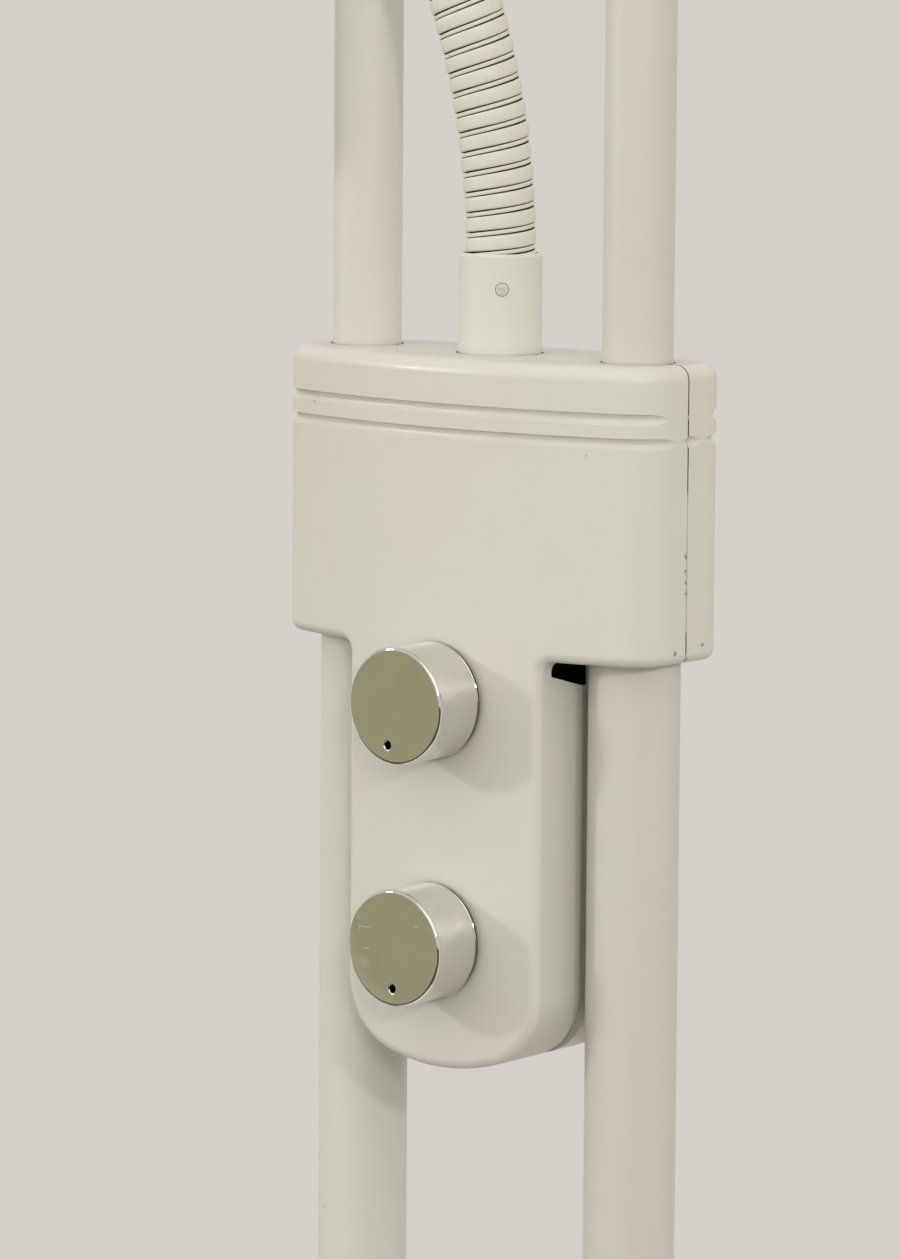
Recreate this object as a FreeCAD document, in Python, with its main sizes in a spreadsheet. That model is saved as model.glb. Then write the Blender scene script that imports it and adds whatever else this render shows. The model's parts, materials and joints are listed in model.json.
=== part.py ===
"""Twin-tube uplighter with a gooseneck reading lamp and a two-knob control casing.

Millimetres, +Z up, front towards -Y. The origin is the centre of the floor face.
"""
import FreeCAD
import Part
import Sketcher
import math
import os

SIZES = [
    ("base_diameter", 300.0),
    ("base_height", 30.0),
    ("base_rim_height", 17.0),
    ("base_flat_margin", 10.0),
    ("base_wall", 1.5),
    ("base_edge_radius", 5.0),
    ("pad_thickness", 3.0),
    ("pad_inset", 5.0),
    ("weight_inset", 13.0),
    ("socket_depth", 14.0),
    ("socket_web", 4.5),
    ("channel_width", 14.0),
    ("gland_height", 9.0),
    ("gland_bore", 7.2),
    ("gland_barrel", 9.8),
    ("gland_flange", 12.4),
    ("gland_flange_thickness", 3.0),
    ("collar_wall", 5.0),
    ("collar_height", 9.0),
    ("collar_edge", 2.0),
    ("fit_gap", 0.03),
    ("slip_gap", 0.35),
    ("turn_gap", 0.05),
    ("body_gap", 0.3),
    ("tube_spacing", 95.0),
    ("lower_tube_diameter", 25.0),
    ("upper_tube_diameter", 19.3),
    ("tube_wall", 1.5),
    ("lower_tube_setback", 20.0),
    ("upper_tube_top", 1735.0),
    ("bolt_diameter", 8.0),
    ("bolt_head_flats", 13.0),
    ("bolt_head_height", 5.3),
    ("bolt_engagement", 16.0),
    ("washer_diameter", 16.0),
    ("washer_thickness", 1.6),
    ("plug_length", 24.0),
    ("bush_flange", 3.0),
    ("bush_length", 55.0),
    ("bush_lip", 3.0),
    ("bush_lip_width", 1.6),
    ("bridge_thickness", 3.0),
    ("bridge_margin", 2.2),
    ("casing_top", 1085.0),
    ("casing_end_margin", 4.7),
    ("casing_half_depth", 26.8),
    ("casing_bow_radius", 200.0),
    ("casing_front_radius", 12.0),
    ("casing_rear_radius", 9.0),
    ("casing_block_height", 80.3),
    ("casing_height", 195.0),
    ("casing_wall", 2.5),
    ("casing_top_edge", 4.0),
    ("casing_edge", 2.8),
    ("tongue_tube_gap", 1.7),
    ("tongue_corner_radius", 20.0),
    ("tongue_bottom_radius", 65.0),
    ("tongue_root_radius", 3.2),
    ("parting_gap", 0.12),
    ("tongue_gap", 4.8),
    ("lip_thickness", 1.2),
    ("lip_reach", 7.5),
    ("groove_first", 13.8),
    ("groove_pitch", 6.6),
    ("groove_width", 3.2),
    ("groove_depth", 1.3),
    ("groove_runout", 4.3),
    ("groove_upper_turn", 62.0),
    ("groove_lower_turn", 45.0),
    ("relief_diameter", 1.8),
    ("relief_offset", 0.3),
    ("window_front", 18.3),
    ("window_drop_front", 4.5),
    ("window_drop_rear", 8.8),
    ("boss_diameter", 8.0),
    ("boss_tube_gap", 3.0),
    ("boss_upper_drop", 58.0),
    ("boss_lip_gap", 0.6),
    ("screw_diameter", 3.0),
    ("screw_head_diameter", 5.6),
    ("screw_head_height", 2.2),
    ("screw_engagement", 12.0),
    ("knob_upper_drop", 93.1),
    ("knob_lower_rise", 35.7),
    ("knob_diameter", 32.0),
    ("knob_height", 17.0),
    ("knob_bevel", 0.6),
    ("knob_stand_off", 0.5),
    ("knob_recess_diameter", 21.0),
    ("knob_recess_depth", 6.0),
    ("knob_web", 3.2),
    ("dimple_radius", 11.2),
    ("dimple_diameter", 2.6),
    ("dimple_depth", 1.2),
    ("upper_pointer_angle", 12.0),
    ("lower_pointer_angle", 1.0),
    ("knob_screw_diameter", 3.0),
    ("dimmer_diameter", 24.0),
    ("dimmer_depth", 10.0),
    ("dimmer_bushing", 9.0),
    ("dimmer_bushing_reach", 3.6),
    ("dimmer_blind", 3.0),
    ("shaft_diameter", 6.0),
    ("nut_flats", 13.0),
    ("nut_thickness", 2.4),
    ("board_boss_gap", 0.5),
    ("board_thickness", 1.6),
    ("board_top_drop", 38.0),
    ("board_bottom_rise", 17.0),
    ("choke_diameter", 20.0),
    ("choke_height", 11.0),
    ("choke_hole", 8.0),
    ("capacitor_length", 18.0),
    ("capacitor_width", 8.0),
    ("capacitor_height", 14.0),
    ("heatsink_length", 20.0),
    ("heatsink_width", 12.0),
    ("heatsink_height", 16.0),
    ("heatsink_wall", 2.0),
    ("terminal_length", 34.0),
    ("terminal_width", 15.0),
    ("terminal_height", 13.0),
    ("terminal_hole", 4.0),
    ("sleeve_diameter", 23.0),
    ("sleeve_reach", 27.5),
    ("sleeve_floor", 6.0),
    ("sleeve_edge", 0.8),
    ("sleeve_screw_height", 18.0),
    ("sleeve_screw_diameter", 3.8),
    ("sleeve_screw_turn", 41.0),
    ("nipple_diameter", 10.0),
    ("nipple_bore", 6.5),
    ("nipple_nut_flats", 14.0),
    ("nipple_nut_thickness", 4.0),
    ("hose_diameter", 19.7),
    ("hose_bore", 12.0),
    ("hose_pitch", 5.7),
    ("hose_crest", 3.9),
    ("hose_rib_depth", 1.0),
    ("hose_straight", 20.0),
    ("hose_first_radius", 235.0),
    ("hose_first_bend", 36.0),
    ("hose_second_radius", 95.0),
    ("hose_turn", 218.0),
    ("hose_end_bore", 8.0),
    ("head_sleeve_length", 30.0),
    ("head_sleeve_floor", 9.0),
    ("shade_top_radius", 24.0),
    ("shade_shoulder", 12.0),
    ("shade_shoulder_radius", 33.0),
    ("shade_mouth_radius", 41.0),
    ("shade_length", 96.0),
    ("shade_wall", 1.4),
    ("holder_radius", 13.0),
    ("holder_length", 36.0),
    ("holder_wall", 4.0),
    ("cap_radius", 7.0),
    ("cap_length", 22.0),
    ("bulb_radius", 19.0),
    ("bulb_neck_radius", 9.0),
    ("bulb_dome_radius", 34.0),
    ("bulb_wall", 0.8),
    ("bulb_neck_length", 8.0),
    ("bulb_length", 43.7),
    ("bowl_radius", 165.0),
    ("bowl_floor_margin", 6.0),
    ("bowl_height", 92.0),
    ("bowl_wall", 1.6),
    ("bowl_curve_radius", 160.0),
    ("bowl_collar_wall", 5.0),
    ("bowl_collar_height", 12.0),
    ("bracket_margin", 20.5),
    ("bracket_width", 30.0),
    ("bracket_thickness", 1.5),
    ("bracket_height", 62.0),
    ("lamp_height", 52.0),
    ("holder_block_depth", 13.0),
    ("holder_block_width", 20.0),
    ("holder_block_height", 22.0),
    ("holder_screw_diameter", 4.0),
    ("holder_screw_head", 7.0),
    ("lamp_diameter", 10.0),
    ("lamp_cap_length", 9.0),
    ("lamp_cap_diameter", 7.0),
    ("reflector_radius", 26.0),
    ("reflector_wall", 1.0),
    ("reflector_half_length", 48.0),
    ("post_diameter", 6.0),
    ("post_spacing", 40.0),
]


class Dim:
    """A size that carries both its number and the sheet expression that gives it."""

    def __init__(self, value, text):
        self.value = float(value)
        self.text = text

    @staticmethod
    def of(other):
        if isinstance(other, Dim):
            return other
        return Dim(other, "(%r)" % float(other))

    def _join(self, other, sign, number):
        return Dim(number, "(%s %s %s)" % (self.text, sign, other.text))

    def __add__(self, other):
        other = Dim.of(other)
        return self._join(other, "+", self.value + other.value)

    def __radd__(self, other):
        return Dim.of(other) + self

    def __sub__(self, other):
        other = Dim.of(other)
        return self._join(other, "-", self.value - other.value)

    def __rsub__(self, other):
        return Dim.of(other) - self

    def __mul__(self, other):
        other = Dim.of(other)
        return self._join(other, "*", self.value * other.value)

    def __rmul__(self, other):
        return Dim.of(other) * self

    def __truediv__(self, other):
        other = Dim.of(other)
        return self._join(other, "/", self.value / other.value)

    def __neg__(self):
        return Dim(-self.value, "(0 - %s)" % self.text)

    def root(self):
        return Dim(math.sqrt(self.value), "sqrt(%s)" % self.text)

    def cos(self):
        return Dim(math.cos(math.radians(self.value)), "cos(%s * 1 deg)" % self.text)

    def sin(self):
        return Dim(math.sin(math.radians(self.value)), "sin(%s * 1 deg)" % self.text)


class Sizes:
    """Reads the sheet's cells by name."""

    def __init__(self, sheet):
        self._sheet = sheet

    def __getattr__(self, name):
        return Dim(self._sheet.get(name), "%s.%s" % (self._sheet.Name, name))


doc = FreeCAD.newDocument("uplighter")
sheet = doc.addObject("Spreadsheet::Sheet", "Sizes")
for row, (name, number) in enumerate(SIZES, start=1):
    sheet.set("A%d" % row, name)
    sheet.set("B%d" % row, "%s" % number)
    sheet.setAlias("B%d" % row, name)
doc.recompute()
s = Sizes(sheet)

TURNS = {
    "+Z": FreeCAD.Rotation(),
    "-Z": FreeCAD.Rotation(FreeCAD.Vector(1, 0, 0), 180),
    "+Y": FreeCAD.Rotation(FreeCAD.Vector(1, 0, 0), -90),
    "-Y": FreeCAD.Rotation(FreeCAD.Vector(1, 0, 0), 90),
    "+X": FreeCAD.Rotation(FreeCAD.Vector(0, 1, 0), 90),
    "-X": FreeCAD.Rotation(FreeCAD.Vector(0, 1, 0), -90),
}
finished = {}


def bind(obj, prop, dim):
    """Ties one property to its size."""
    obj.setExpression(prop, Dim.of(dim).text)


def place(obj, at, along="+Z"):
    """Puts an object at a point, with its own Z axis along a direction."""
    rotation = TURNS[along] if isinstance(along, str) else along
    point = [Dim.of(part) for part in at]
    obj.Placement = FreeCAD.Placement(FreeCAD.Vector(*[p.value for p in point]), rotation)
    for axis, part in zip("xyz", point):
        bind(obj, ".Placement.Base.%s" % axis, part)
    return obj


def cylinder(name, radius, height, at=(0, 0, 0), along="+Z"):
    obj = doc.addObject("Part::Cylinder", name)
    bind(obj, "Radius", radius)
    bind(obj, "Height", height)
    return place(obj, at, along)


def box(name, length, width, height, at=(0, 0, 0)):
    obj = doc.addObject("Part::Box", name)
    bind(obj, "Length", length)
    bind(obj, "Width", width)
    bind(obj, "Height", height)
    return place(obj, at)


def torus(name, ring, tube, at):
    obj = doc.addObject("Part::Torus", name)
    bind(obj, "Radius1", ring)
    bind(obj, "Radius2", tube)
    return place(obj, at)


def hexagon(name, flats, height, at, along="+Z"):
    obj = doc.addObject("Part::Prism", name)
    obj.Polygon = 6
    bind(obj, "Circumradius", Dim.of(flats) / math.sqrt(3.0))
    bind(obj, "Height", height)
    return place(obj, at, along)


def fuse(name, *shapes):
    obj = doc.addObject("Part::MultiFuse", name)
    obj.Shapes = list(shapes)
    return obj


def common(name, *shapes):
    obj = doc.addObject("Part::MultiCommon", name)
    obj.Shapes = list(shapes)
    return obj


def cut(name, base, *tools):
    obj = doc.addObject("Part::Cut", name)
    obj.Base = base
    obj.Tool = tools[0] if len(tools) == 1 else fuse(name + "_tools", *tools)
    return obj


def group(name, *shapes):
    obj = doc.addObject("Part::Compound", name)
    obj.Links = list(shapes)
    return obj


def rounded(name, base, picks):
    """Rounds the edges of a shape that the tests in picks choose, each with its own radius."""
    doc.recompute()
    obj = doc.addObject("Part::Fillet", name)
    obj.Base = base
    chosen = []
    for number, edge in enumerate(base.Shape.Edges, start=1):
        for test, radius in picks:
            if test(edge):
                chosen.append((number, Dim.of(radius).value, Dim.of(radius).value))
                break
    obj.Edges = chosen
    return obj


def finish(node, obj):
    """Names an object as one sub-part of the lamp."""
    obj.Label = node
    finished[node] = obj
    return obj


def plane_of(body, role):
    return [item for item in body.Origin.OriginFeatures if item.Role == role][0]


def outline(sketch, points):
    """Draws a closed outline whose corners are tied to sizes.

    Each corner is (across, up), or (across, up, radius) where an arc of that radius runs from
    this corner to the next, turning left when the radius is positive and right when negative.
    """
    corners = [(Dim.of(p[0]), Dim.of(p[1])) for p in points]
    arcs = [Dim.of(p[2]) if len(p) > 2 else None for p in points]
    count = len(corners)
    for i in range(count):
        a = FreeCAD.Vector(corners[i][0].value, corners[i][1].value, 0)
        end = corners[(i + 1) % count]
        b = FreeCAD.Vector(end[0].value, end[1].value, 0)
        if arcs[i] is None:
            sketch.addGeometry(Part.LineSegment(a, b), False)
            continue
        bend = arcs[i].value
        half = (b - a) * 0.5
        side = FreeCAD.Vector(-half.y, half.x, 0).normalize()
        rise = math.sqrt(max(0.0, bend * bend - half.Length * half.Length))
        turn = 1.0 if bend > 0 else -1.0
        centre = a + half + side * (rise * turn)
        middle = centre - side * (abs(bend) * turn)
        sketch.addGeometry(Part.Arc(a, middle, b), False)
    ends = [(2, 1) if bend is not None and bend.value < 0 else (1, 2) for bend in arcs]
    for i in range(count):
        after = (i + 1) % count
        sketch.addConstraint(Sketcher.Constraint("Coincident", i, ends[i][1], after, ends[after][0]))
    for i in range(count):
        pos = ends[i][0]
        for kind, axis, dim in (("DistanceX", -2, corners[i][0]), ("DistanceY", -1, corners[i][1])):
            if dim.value == 0.0:
                sketch.addConstraint(Sketcher.Constraint("PointOnObject", i, pos, axis))
                continue
            index = sketch.addConstraint(Sketcher.Constraint(kind, i, pos, dim.value))
            sketch.setExpression("Constraints[%d]" % index, dim.text)
        if arcs[i] is not None:
            size = abs(arcs[i].value)
            index = sketch.addConstraint(Sketcher.Constraint("Radius", i, size))
            text = arcs[i].text if arcs[i].value > 0 else "(0 - %s)" % arcs[i].text
            sketch.setExpression("Constraints[%d]" % index, text)


def turned(name, points, at=(0, 0, 0), along="+Z"):
    """A turned piece: a half outline spun about the piece's own Z axis."""
    body = doc.addObject("PartDesign::Body", name)
    sketch = body.newObject("Sketcher::SketchObject", name + "_profile")
    sketch.AttachmentSupport = [(plane_of(body, "XZ_Plane"), "")]
    sketch.MapMode = "FlatFace"
    outline(sketch, points)
    spin = body.newObject("PartDesign::Revolution", name + "_turn")
    spin.Profile = sketch
    spin.ReferenceAxis = (sketch, ["V_Axis"])
    spin.Angle = 360
    return place(body, at, along)


def pressed(name, points, height, at=(0, 0, 0), plane="XY_Plane", middle=False):
    """A plate or section: an outline padded by its thickness."""
    body = doc.addObject("PartDesign::Body", name)
    sketch = body.newObject("Sketcher::SketchObject", name + "_outline")
    sketch.AttachmentSupport = [(plane_of(body, plane), "")]
    sketch.MapMode = "FlatFace"
    outline(sketch, points)
    pad = body.newObject("PartDesign::Pad", name + "_pad")
    pad.Profile = sketch
    pad.Midplane = middle
    bind(pad, "Length", height)
    return place(body, at)


def softened(body, name, radius, test):
    """Adds a fillet to a body on the edges that the test picks."""
    doc.recompute()
    base = body.Tip
    edges = ["Edge%d" % n for n, e in enumerate(base.Shape.Edges, start=1) if test(e)]
    fillet = body.newObject("PartDesign::Fillet", name)
    fillet.Base = (base, edges)
    bind(fillet, "Radius", radius)
    return body


def ring(name, outer, inner, height, at=(0, 0, 0), along="+Z"):
    return turned(name, [(inner, 0), (outer, 0), (outer, height), (inner, height)], at, along)


def is_circle(edge, radius=None, height=None):
    curve = edge.Curve
    if not isinstance(curve, Part.Circle):
        return False
    if radius is not None and abs(curve.Radius - Dim.of(radius).value) > 0.01:
        return False
    return height is None or abs(curve.Center.z - Dim.of(height).value) < 0.01


half_spacing = s.tube_spacing / 2
SIDES = (("left", -half_spacing), ("right", half_spacing))
lower_r = s.lower_tube_diameter / 2
upper_r = s.upper_tube_diameter / 2
top = s.casing_top

# Base

base_r = s.base_diameter / 2
flat_r = half_spacing + lower_r + s.collar_wall + s.base_flat_margin
cover_top = s.base_height
weight_top = cover_top - s.base_wall
weight_r = base_r - s.weight_inset
socket_floor = weight_top - s.socket_depth
bolt_seat = socket_floor - s.socket_web
bolt_r = s.bolt_diameter / 2

cover = turned("cover_shell", [
    (0, weight_top),
    (flat_r, weight_top),
    (base_r - s.base_wall, s.base_rim_height - s.base_wall * 0.8),
    (base_r - s.base_wall, s.pad_thickness / 3),
    (base_r, s.pad_thickness / 3),
    (base_r, s.base_rim_height),
    (flat_r, cover_top),
    (0, cover_top),
])
softened(cover, "cover_edge", s.base_edge_radius,
         lambda e: is_circle(e, base_r, s.base_rim_height))
cover_holes = [cylinder("cover_hole_" + side, lower_r + s.slip_gap, s.base_wall * 6,
                        (x, 0, weight_top - s.base_wall * 2)) for side, x in SIDES]
gland_hole = cylinder("gland_hole", s.gland_barrel / 2 + s.fit_gap, s.base_wall * 8,
                      (0, base_r - s.base_wall * 4, s.gland_height), "+Y")
finish("base_cover", cut("cover_cut", cover, gland_hole, *cover_holes))

weight = turned("weight_disc", [
    (0, s.pad_thickness),
    (weight_r, s.pad_thickness),
    (weight_r, s.base_rim_height - s.base_wall * 2),
    (flat_r - 4, weight_top),
    (0, weight_top),
])
weight_cuts = [box("cord_channel", s.channel_width, weight_r, s.gland_height + s.gland_barrel / 2,
                   (-s.channel_width / 2, half_spacing / 2, 0))]
for side, x in SIDES:
    weight_cuts.append(cylinder("socket_" + side, lower_r + s.fit_gap, s.socket_depth * 2,
                                (x, 0, socket_floor)))
    weight_cuts.append(cylinder("bolt_way_" + side, bolt_r + s.slip_gap, s.base_height, (x, 0, 0)))
    weight_cuts.append(cylinder("bolt_pocket_" + side, s.washer_diameter / 2 + s.slip_gap, bolt_seat,
                                (x, 0, 0)))
finish("base_weight", cut("weight_cut", weight, *weight_cuts))

finish("base_pad", cylinder("pad", base_r - s.pad_inset, s.pad_thickness))

collar_r = lower_r + s.collar_wall
finish("base_collars", group("collars", *[turned("base_collar_" + side, [
    (lower_r + s.fit_gap, 0),
    (collar_r, 0),
    (collar_r, s.collar_height - s.collar_edge),
    (collar_r - s.collar_edge, s.collar_height),
    (lower_r + s.fit_gap, s.collar_height),
], (x, 0, cover_top)) for side, x in SIDES]))


def bolt(name, at, along, reach):
    """A hexagon bolt whose head's underside is at the given point."""
    head_along = {"+Z": "-Z", "-Z": "+Z"}[along]
    head = hexagon(name + "_head", s.bolt_head_flats, s.bolt_head_height, at, head_along)
    shank = cylinder(name + "_shank", bolt_r, reach, at, along)
    return fuse(name, head, shank)


washer_low = bolt_seat - s.washer_thickness
foot_reach = socket_floor - washer_low + s.bolt_engagement
finish("base_bolts", group("base_bolt_pair", *[
    bolt("base_bolt_" + side, (x, 0, washer_low), "+Z", foot_reach) for side, x in SIDES]))
finish("base_washers", group("base_washer_pair", *[
    ring("base_washer_" + side, s.washer_diameter / 2, bolt_r + s.slip_gap / 2, s.washer_thickness,
         (x, 0, washer_low)) for side, x in SIDES]))
finish("foot_plugs", group("foot_plug_pair", *[
    ring("foot_plug_" + side, lower_r - s.tube_wall - s.fit_gap, bolt_r + s.fit_gap, s.plug_length,
         (x, 0, socket_floor)) for side, x in SIDES]))

gland_in = s.base_wall + 2.2
finish("cord_gland", turned("gland", [
    (s.gland_bore / 2, 0),
    (s.gland_flange / 2, 0),
    (s.gland_flange / 2, 1.8),
    (s.gland_barrel / 2, 1.8),
    (s.gland_barrel / 2, gland_in),
    (s.gland_flange / 2, gland_in),
    (s.gland_flange / 2, gland_in + s.gland_flange_thickness),
    (s.gland_bore / 2, gland_in + s.gland_flange_thickness),
], (0, base_r - gland_in, s.gland_height), "+Y"))

# Tubes

lower_top = top - s.lower_tube_setback
for side, x in SIDES:
    finish("lower_tube_" + side, ring("lower_tube_body_" + side, lower_r, lower_r - s.tube_wall,
                                      lower_top - socket_floor, (x, 0, socket_floor)))
bush_bottom = lower_top - s.bush_length
bush_bore = upper_r + s.fit_gap
bushes = []
for side, x in SIDES:
    bushes.append(turned("bush_" + side, [
        (bush_bore - s.bush_lip_width, 0),
        (lower_r - s.tube_wall - s.fit_gap, 0),
        (lower_r - s.tube_wall - s.fit_gap, s.bush_length),
        (lower_r, s.bush_length),
        (lower_r, s.bush_length + s.bush_flange),
        (bush_bore, s.bush_length + s.bush_flange),
        (bush_bore, s.bush_lip),
        (bush_bore - s.bush_lip_width, s.bush_lip),
    ], (x, 0, bush_bottom)))
finish("joint_bushes", group("bush_pair", *bushes))
upper_bottom = bush_bottom + s.bush_lip
for side, x in SIDES:
    finish("upper_tube_" + side, ring("upper_tube_body_" + side, upper_r, upper_r - s.tube_wall,
                                      s.upper_tube_top - upper_bottom, (x, 0, upper_bottom)))
bridge_low = lower_top + s.bush_flange
bridge_top = bridge_low + s.bridge_thickness
bridge_r = lower_r - s.bridge_margin / 2
nipple_r = s.nipple_diameter / 2
bridge_plate = fuse("bridge_plate",
                    box("bridge_bar", s.tube_spacing, bridge_r * 2, s.bridge_thickness,
                        (-half_spacing, -bridge_r, bridge_low)),
                    *[cylinder("bridge_end_" + side, bridge_r, s.bridge_thickness, (x, 0, bridge_low))
                      for side, x in SIDES])
bridge_holes = [cylinder("bridge_hole_" + side, upper_r + s.fit_gap, s.bridge_thickness * 3,
                         (x, 0, bridge_low - s.bridge_thickness)) for side, x in SIDES]
bridge_holes.append(cylinder("bridge_centre", nipple_r + s.fit_gap, s.bridge_thickness * 3,
                             (0, 0, bridge_low - s.bridge_thickness)))
finish("tube_bridge", cut("bridge_cut", bridge_plate, *bridge_holes))

# Control casing

sleeve_r = s.sleeve_diameter / 2
bow_centre = s.casing_bow_radius - s.casing_half_depth
casing_half = half_spacing + lower_r + s.casing_end_margin
tongue_half = half_spacing - lower_r - s.tongue_tube_gap
casing_low = top - s.casing_height
spare = s.casing_wall * 4
block_bottom = top - s.casing_block_height
knob_upper_z = top - s.knob_upper_drop
knob_lower_z = casing_low + s.knob_lower_rise
knob_heights = (("upper", knob_upper_z), ("lower", knob_lower_z))


def casing_form(name, inset):
    """The casing's outer form, or the same form set in by a wall."""
    low = casing_low
    high = s.casing_height + spare * 2
    bow = s.casing_bow_radius - inset
    wide = casing_half - inset
    plan = common(
        name + "_plan",
        cylinder(name + "_front_bow", bow, high, (0, bow_centre, low - spare)),
        cylinder(name + "_rear_bow", bow, high, (0, -bow_centre, low - spare)),
        box(name + "_width", wide * 2, s.casing_bow_radius, high,
            (-wide, -s.casing_bow_radius / 2, low - spare)))
    doc.recompute()

    def at_end(edge, way):
        corner = edge.Vertexes[0]
        upright = abs(edge.tangentAt(edge.FirstParameter).z) > 0.99
        return upright and abs(abs(corner.X) - wide.value) < 0.01 and corner.Y * way > 0

    plan = rounded(name + "_plan_round", plan, [
        (lambda e: at_end(e, -1), s.casing_front_radius - inset),
        (lambda e: at_end(e, 1), s.casing_rear_radius - inset),
    ])
    tongue_r = s.tongue_bottom_radius - inset
    tongue_w = tongue_half - inset
    tongue = common(
        name + "_tongue",
        box(name + "_tongue_box", tongue_w * 2, s.casing_bow_radius, s.casing_height - inset * 2,
            (-tongue_w, -s.casing_bow_radius / 2, low + inset)),
        cylinder(name + "_tongue_arc", tongue_r, s.casing_bow_radius,
                 (0, -s.casing_bow_radius / 2, low + s.tongue_bottom_radius), "+Y"),)
    deep = tongue_r - (tongue_r * tongue_r - tongue_w * tongue_w).root()
    tongue_upper = box(name + "_tongue_upper", tongue_w * 2, s.casing_bow_radius,
                       s.casing_height - inset * 2 - s.tongue_bottom_radius,
                       (-tongue_w, -s.casing_bow_radius / 2, low + s.tongue_bottom_radius))
    block = box(name + "_block", wide * 2, s.casing_bow_radius, s.casing_block_height - inset * 2,
                (-wide, -s.casing_bow_radius / 2, block_bottom + inset))
    face = fuse(name + "_face", tongue, tongue_upper, block)
    face.Refine = True
    doc.recompute()
    corner_z = (low + inset + deep).value
    root_z = (block_bottom + inset).value

    def along_y(edge):
        return abs(edge.tangentAt(edge.FirstParameter).y) > 0.99

    def at_x(edge, where):
        return abs(abs(edge.Vertexes[0].X) - where.value) < 0.01

    face = rounded(name + "_face_round", face, [
        (lambda e: along_y(e) and at_x(e, tongue_w) and abs(e.Vertexes[0].Z - corner_z) < 0.05,
         s.tongue_corner_radius - inset),
        (lambda e: along_y(e) and at_x(e, tongue_w) and abs(e.Vertexes[0].Z - root_z) < 0.05,
         s.tongue_root_radius + inset),
    ])
    return common(name, plan, face)


outer = casing_form("casing_outer", Dim.of(0.0))
doc.recompute()
top_z = top.value


def on_top(edge):
    return bool(edge.Vertexes) and all(abs(v.Z - top_z) < 0.001 for v in edge.Vertexes)


def on_bow(edge):
    """True for the edges that run round the foot of the block and round the tongue's faces."""
    box_of = edge.BoundBox
    if box_of.ZMax > top_z - 1.0:
        return False
    point = edge.valueAt((edge.FirstParameter + edge.LastParameter) / 2)
    bow = s.casing_bow_radius.value
    reach = math.hypot(point.x, abs(point.y) + bow_centre.value)
    steep = abs(edge.tangentAt(edge.FirstParameter).z)
    if abs(reach - bow) < 0.01:
        return steep < 0.99 or abs(abs(point.x) - tongue_half.value) < 0.01
    low_edge = abs(point.z - block_bottom.value) < 0.01 and steep < 0.01
    return low_edge and abs(point.x) > tongue_half.value + s.tongue_root_radius.value + 1.0


outer_soft = rounded("casing_outer_soft", outer, [(on_top, s.casing_top_edge), (on_bow, s.casing_edge)])
inner = casing_form("casing_inner", s.casing_wall)
hollow = cut("casing_hollow", outer_soft, inner)

far = s.casing_bow_radius
low_all = casing_low - spare
high_all = s.casing_height + spare * 2
half_gap = s.parting_gap / 2
front_space = box("front_space", far, far, high_all, (-far / 2, -far - half_gap, low_all))
rear_space = box("rear_space", far, far, high_all, (-far / 2, half_gap, low_all))

groove_r = (s.groove_width * s.groove_width / 4 + s.groove_depth * s.groove_depth) / (s.groove_depth * 2)
groove_ring = s.casing_bow_radius + groove_r - s.groove_depth


def grooves(half, way, end_radius):
    """The two grooves of one half: along the bow and round both ends, where they run out."""
    tools = []
    end_x = casing_half - end_radius
    reach = s.casing_bow_radius - end_radius
    end_y = (reach * reach - end_x * end_x).root() - bow_centre
    bend = end_radius + groove_r - s.groove_depth + s.groove_runout
    space_x = end_x + s.groove_runout * 0.42
    for key, turn, drop in (("upper", s.groove_upper_turn, s.groove_first),
                            ("lower", s.groove_lower_turn, s.groove_first + s.groove_pitch)):
        z = top - drop
        tools.append(torus("%s_%s_groove" % (half, key), groove_ring, groove_r, (0, bow_centre * -way, z)))
        bend_x = end_x - s.groove_runout * turn.cos()
        bend_y = end_y - s.groove_runout * turn.sin()
        for side, sign in (("left", -1), ("right", 1)):
            name = "%s_%s_groove_%s" % (half, key, side)
            low_x = space_x if sign > 0 else -(space_x + bend)
            low_y = Dim.of(0.0) if way > 0 else -s.casing_half_depth
            tools.append(common(
                name,
                torus(name + "_bend", bend, groove_r, (bend_x * sign, bend_y * way, z)),
                box(name + "_space", bend, s.casing_half_depth, s.groove_width * 2,
                    (low_x, low_y, z - s.groove_width))))
    return tools


def reliefs(name, x, radius):
    """The small gaps that the halves' rounded corners leave at both sides of a hole in the top."""
    off = radius + s.slip_gap + s.relief_offset
    tall = s.casing_wall * 3
    low = top - s.casing_wall * 2
    return [cylinder("%s_relief_%s" % (name, side), s.relief_diameter / 2, tall, (x + off * sign, 0, low))
            for side, sign in (("left", -1), ("right", 1))]


def tube_openings(name):
    tools = [cylinder(name + "_sleeve_hole", sleeve_r + s.slip_gap, s.casing_wall * 3,
                      (0, 0, top - s.casing_wall * 2))]
    tools.extend(reliefs(name + "_sleeve", Dim.of(0.0), sleeve_r))
    for side, x in SIDES:
        tools.append(cylinder("%s_top_hole_%s" % (name, side), upper_r + s.slip_gap, s.casing_wall * 3,
                              (x, 0, top - s.casing_wall * 2)))
        tools.extend(reliefs("%s_top_%s" % (name, side), x, upper_r))
        tools.append(cylinder("%s_low_hole_%s" % (name, side), lower_r + s.slip_gap, s.casing_wall * 5,
                              (x, 0, block_bottom - s.casing_wall)))
    return tools


boss_r = s.boss_diameter / 2
boss_high_x = half_spacing - lower_r - s.boss_tube_gap - boss_r
boss_low_x = tongue_half - s.casing_wall - s.lip_thickness - s.boss_lip_gap - boss_r
boss_high_z = top - s.boss_upper_drop
boss_low_z = (knob_upper_z + knob_lower_z) / 2
BOSSES = (("upper_left", -boss_high_x, boss_high_z), ("upper_right", boss_high_x, boss_high_z),
          ("lower_left", -boss_low_x, boss_low_z), ("lower_right", boss_low_x, boss_low_z))
skin = casing_form("casing_skin", s.casing_wall * 0.6)


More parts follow.
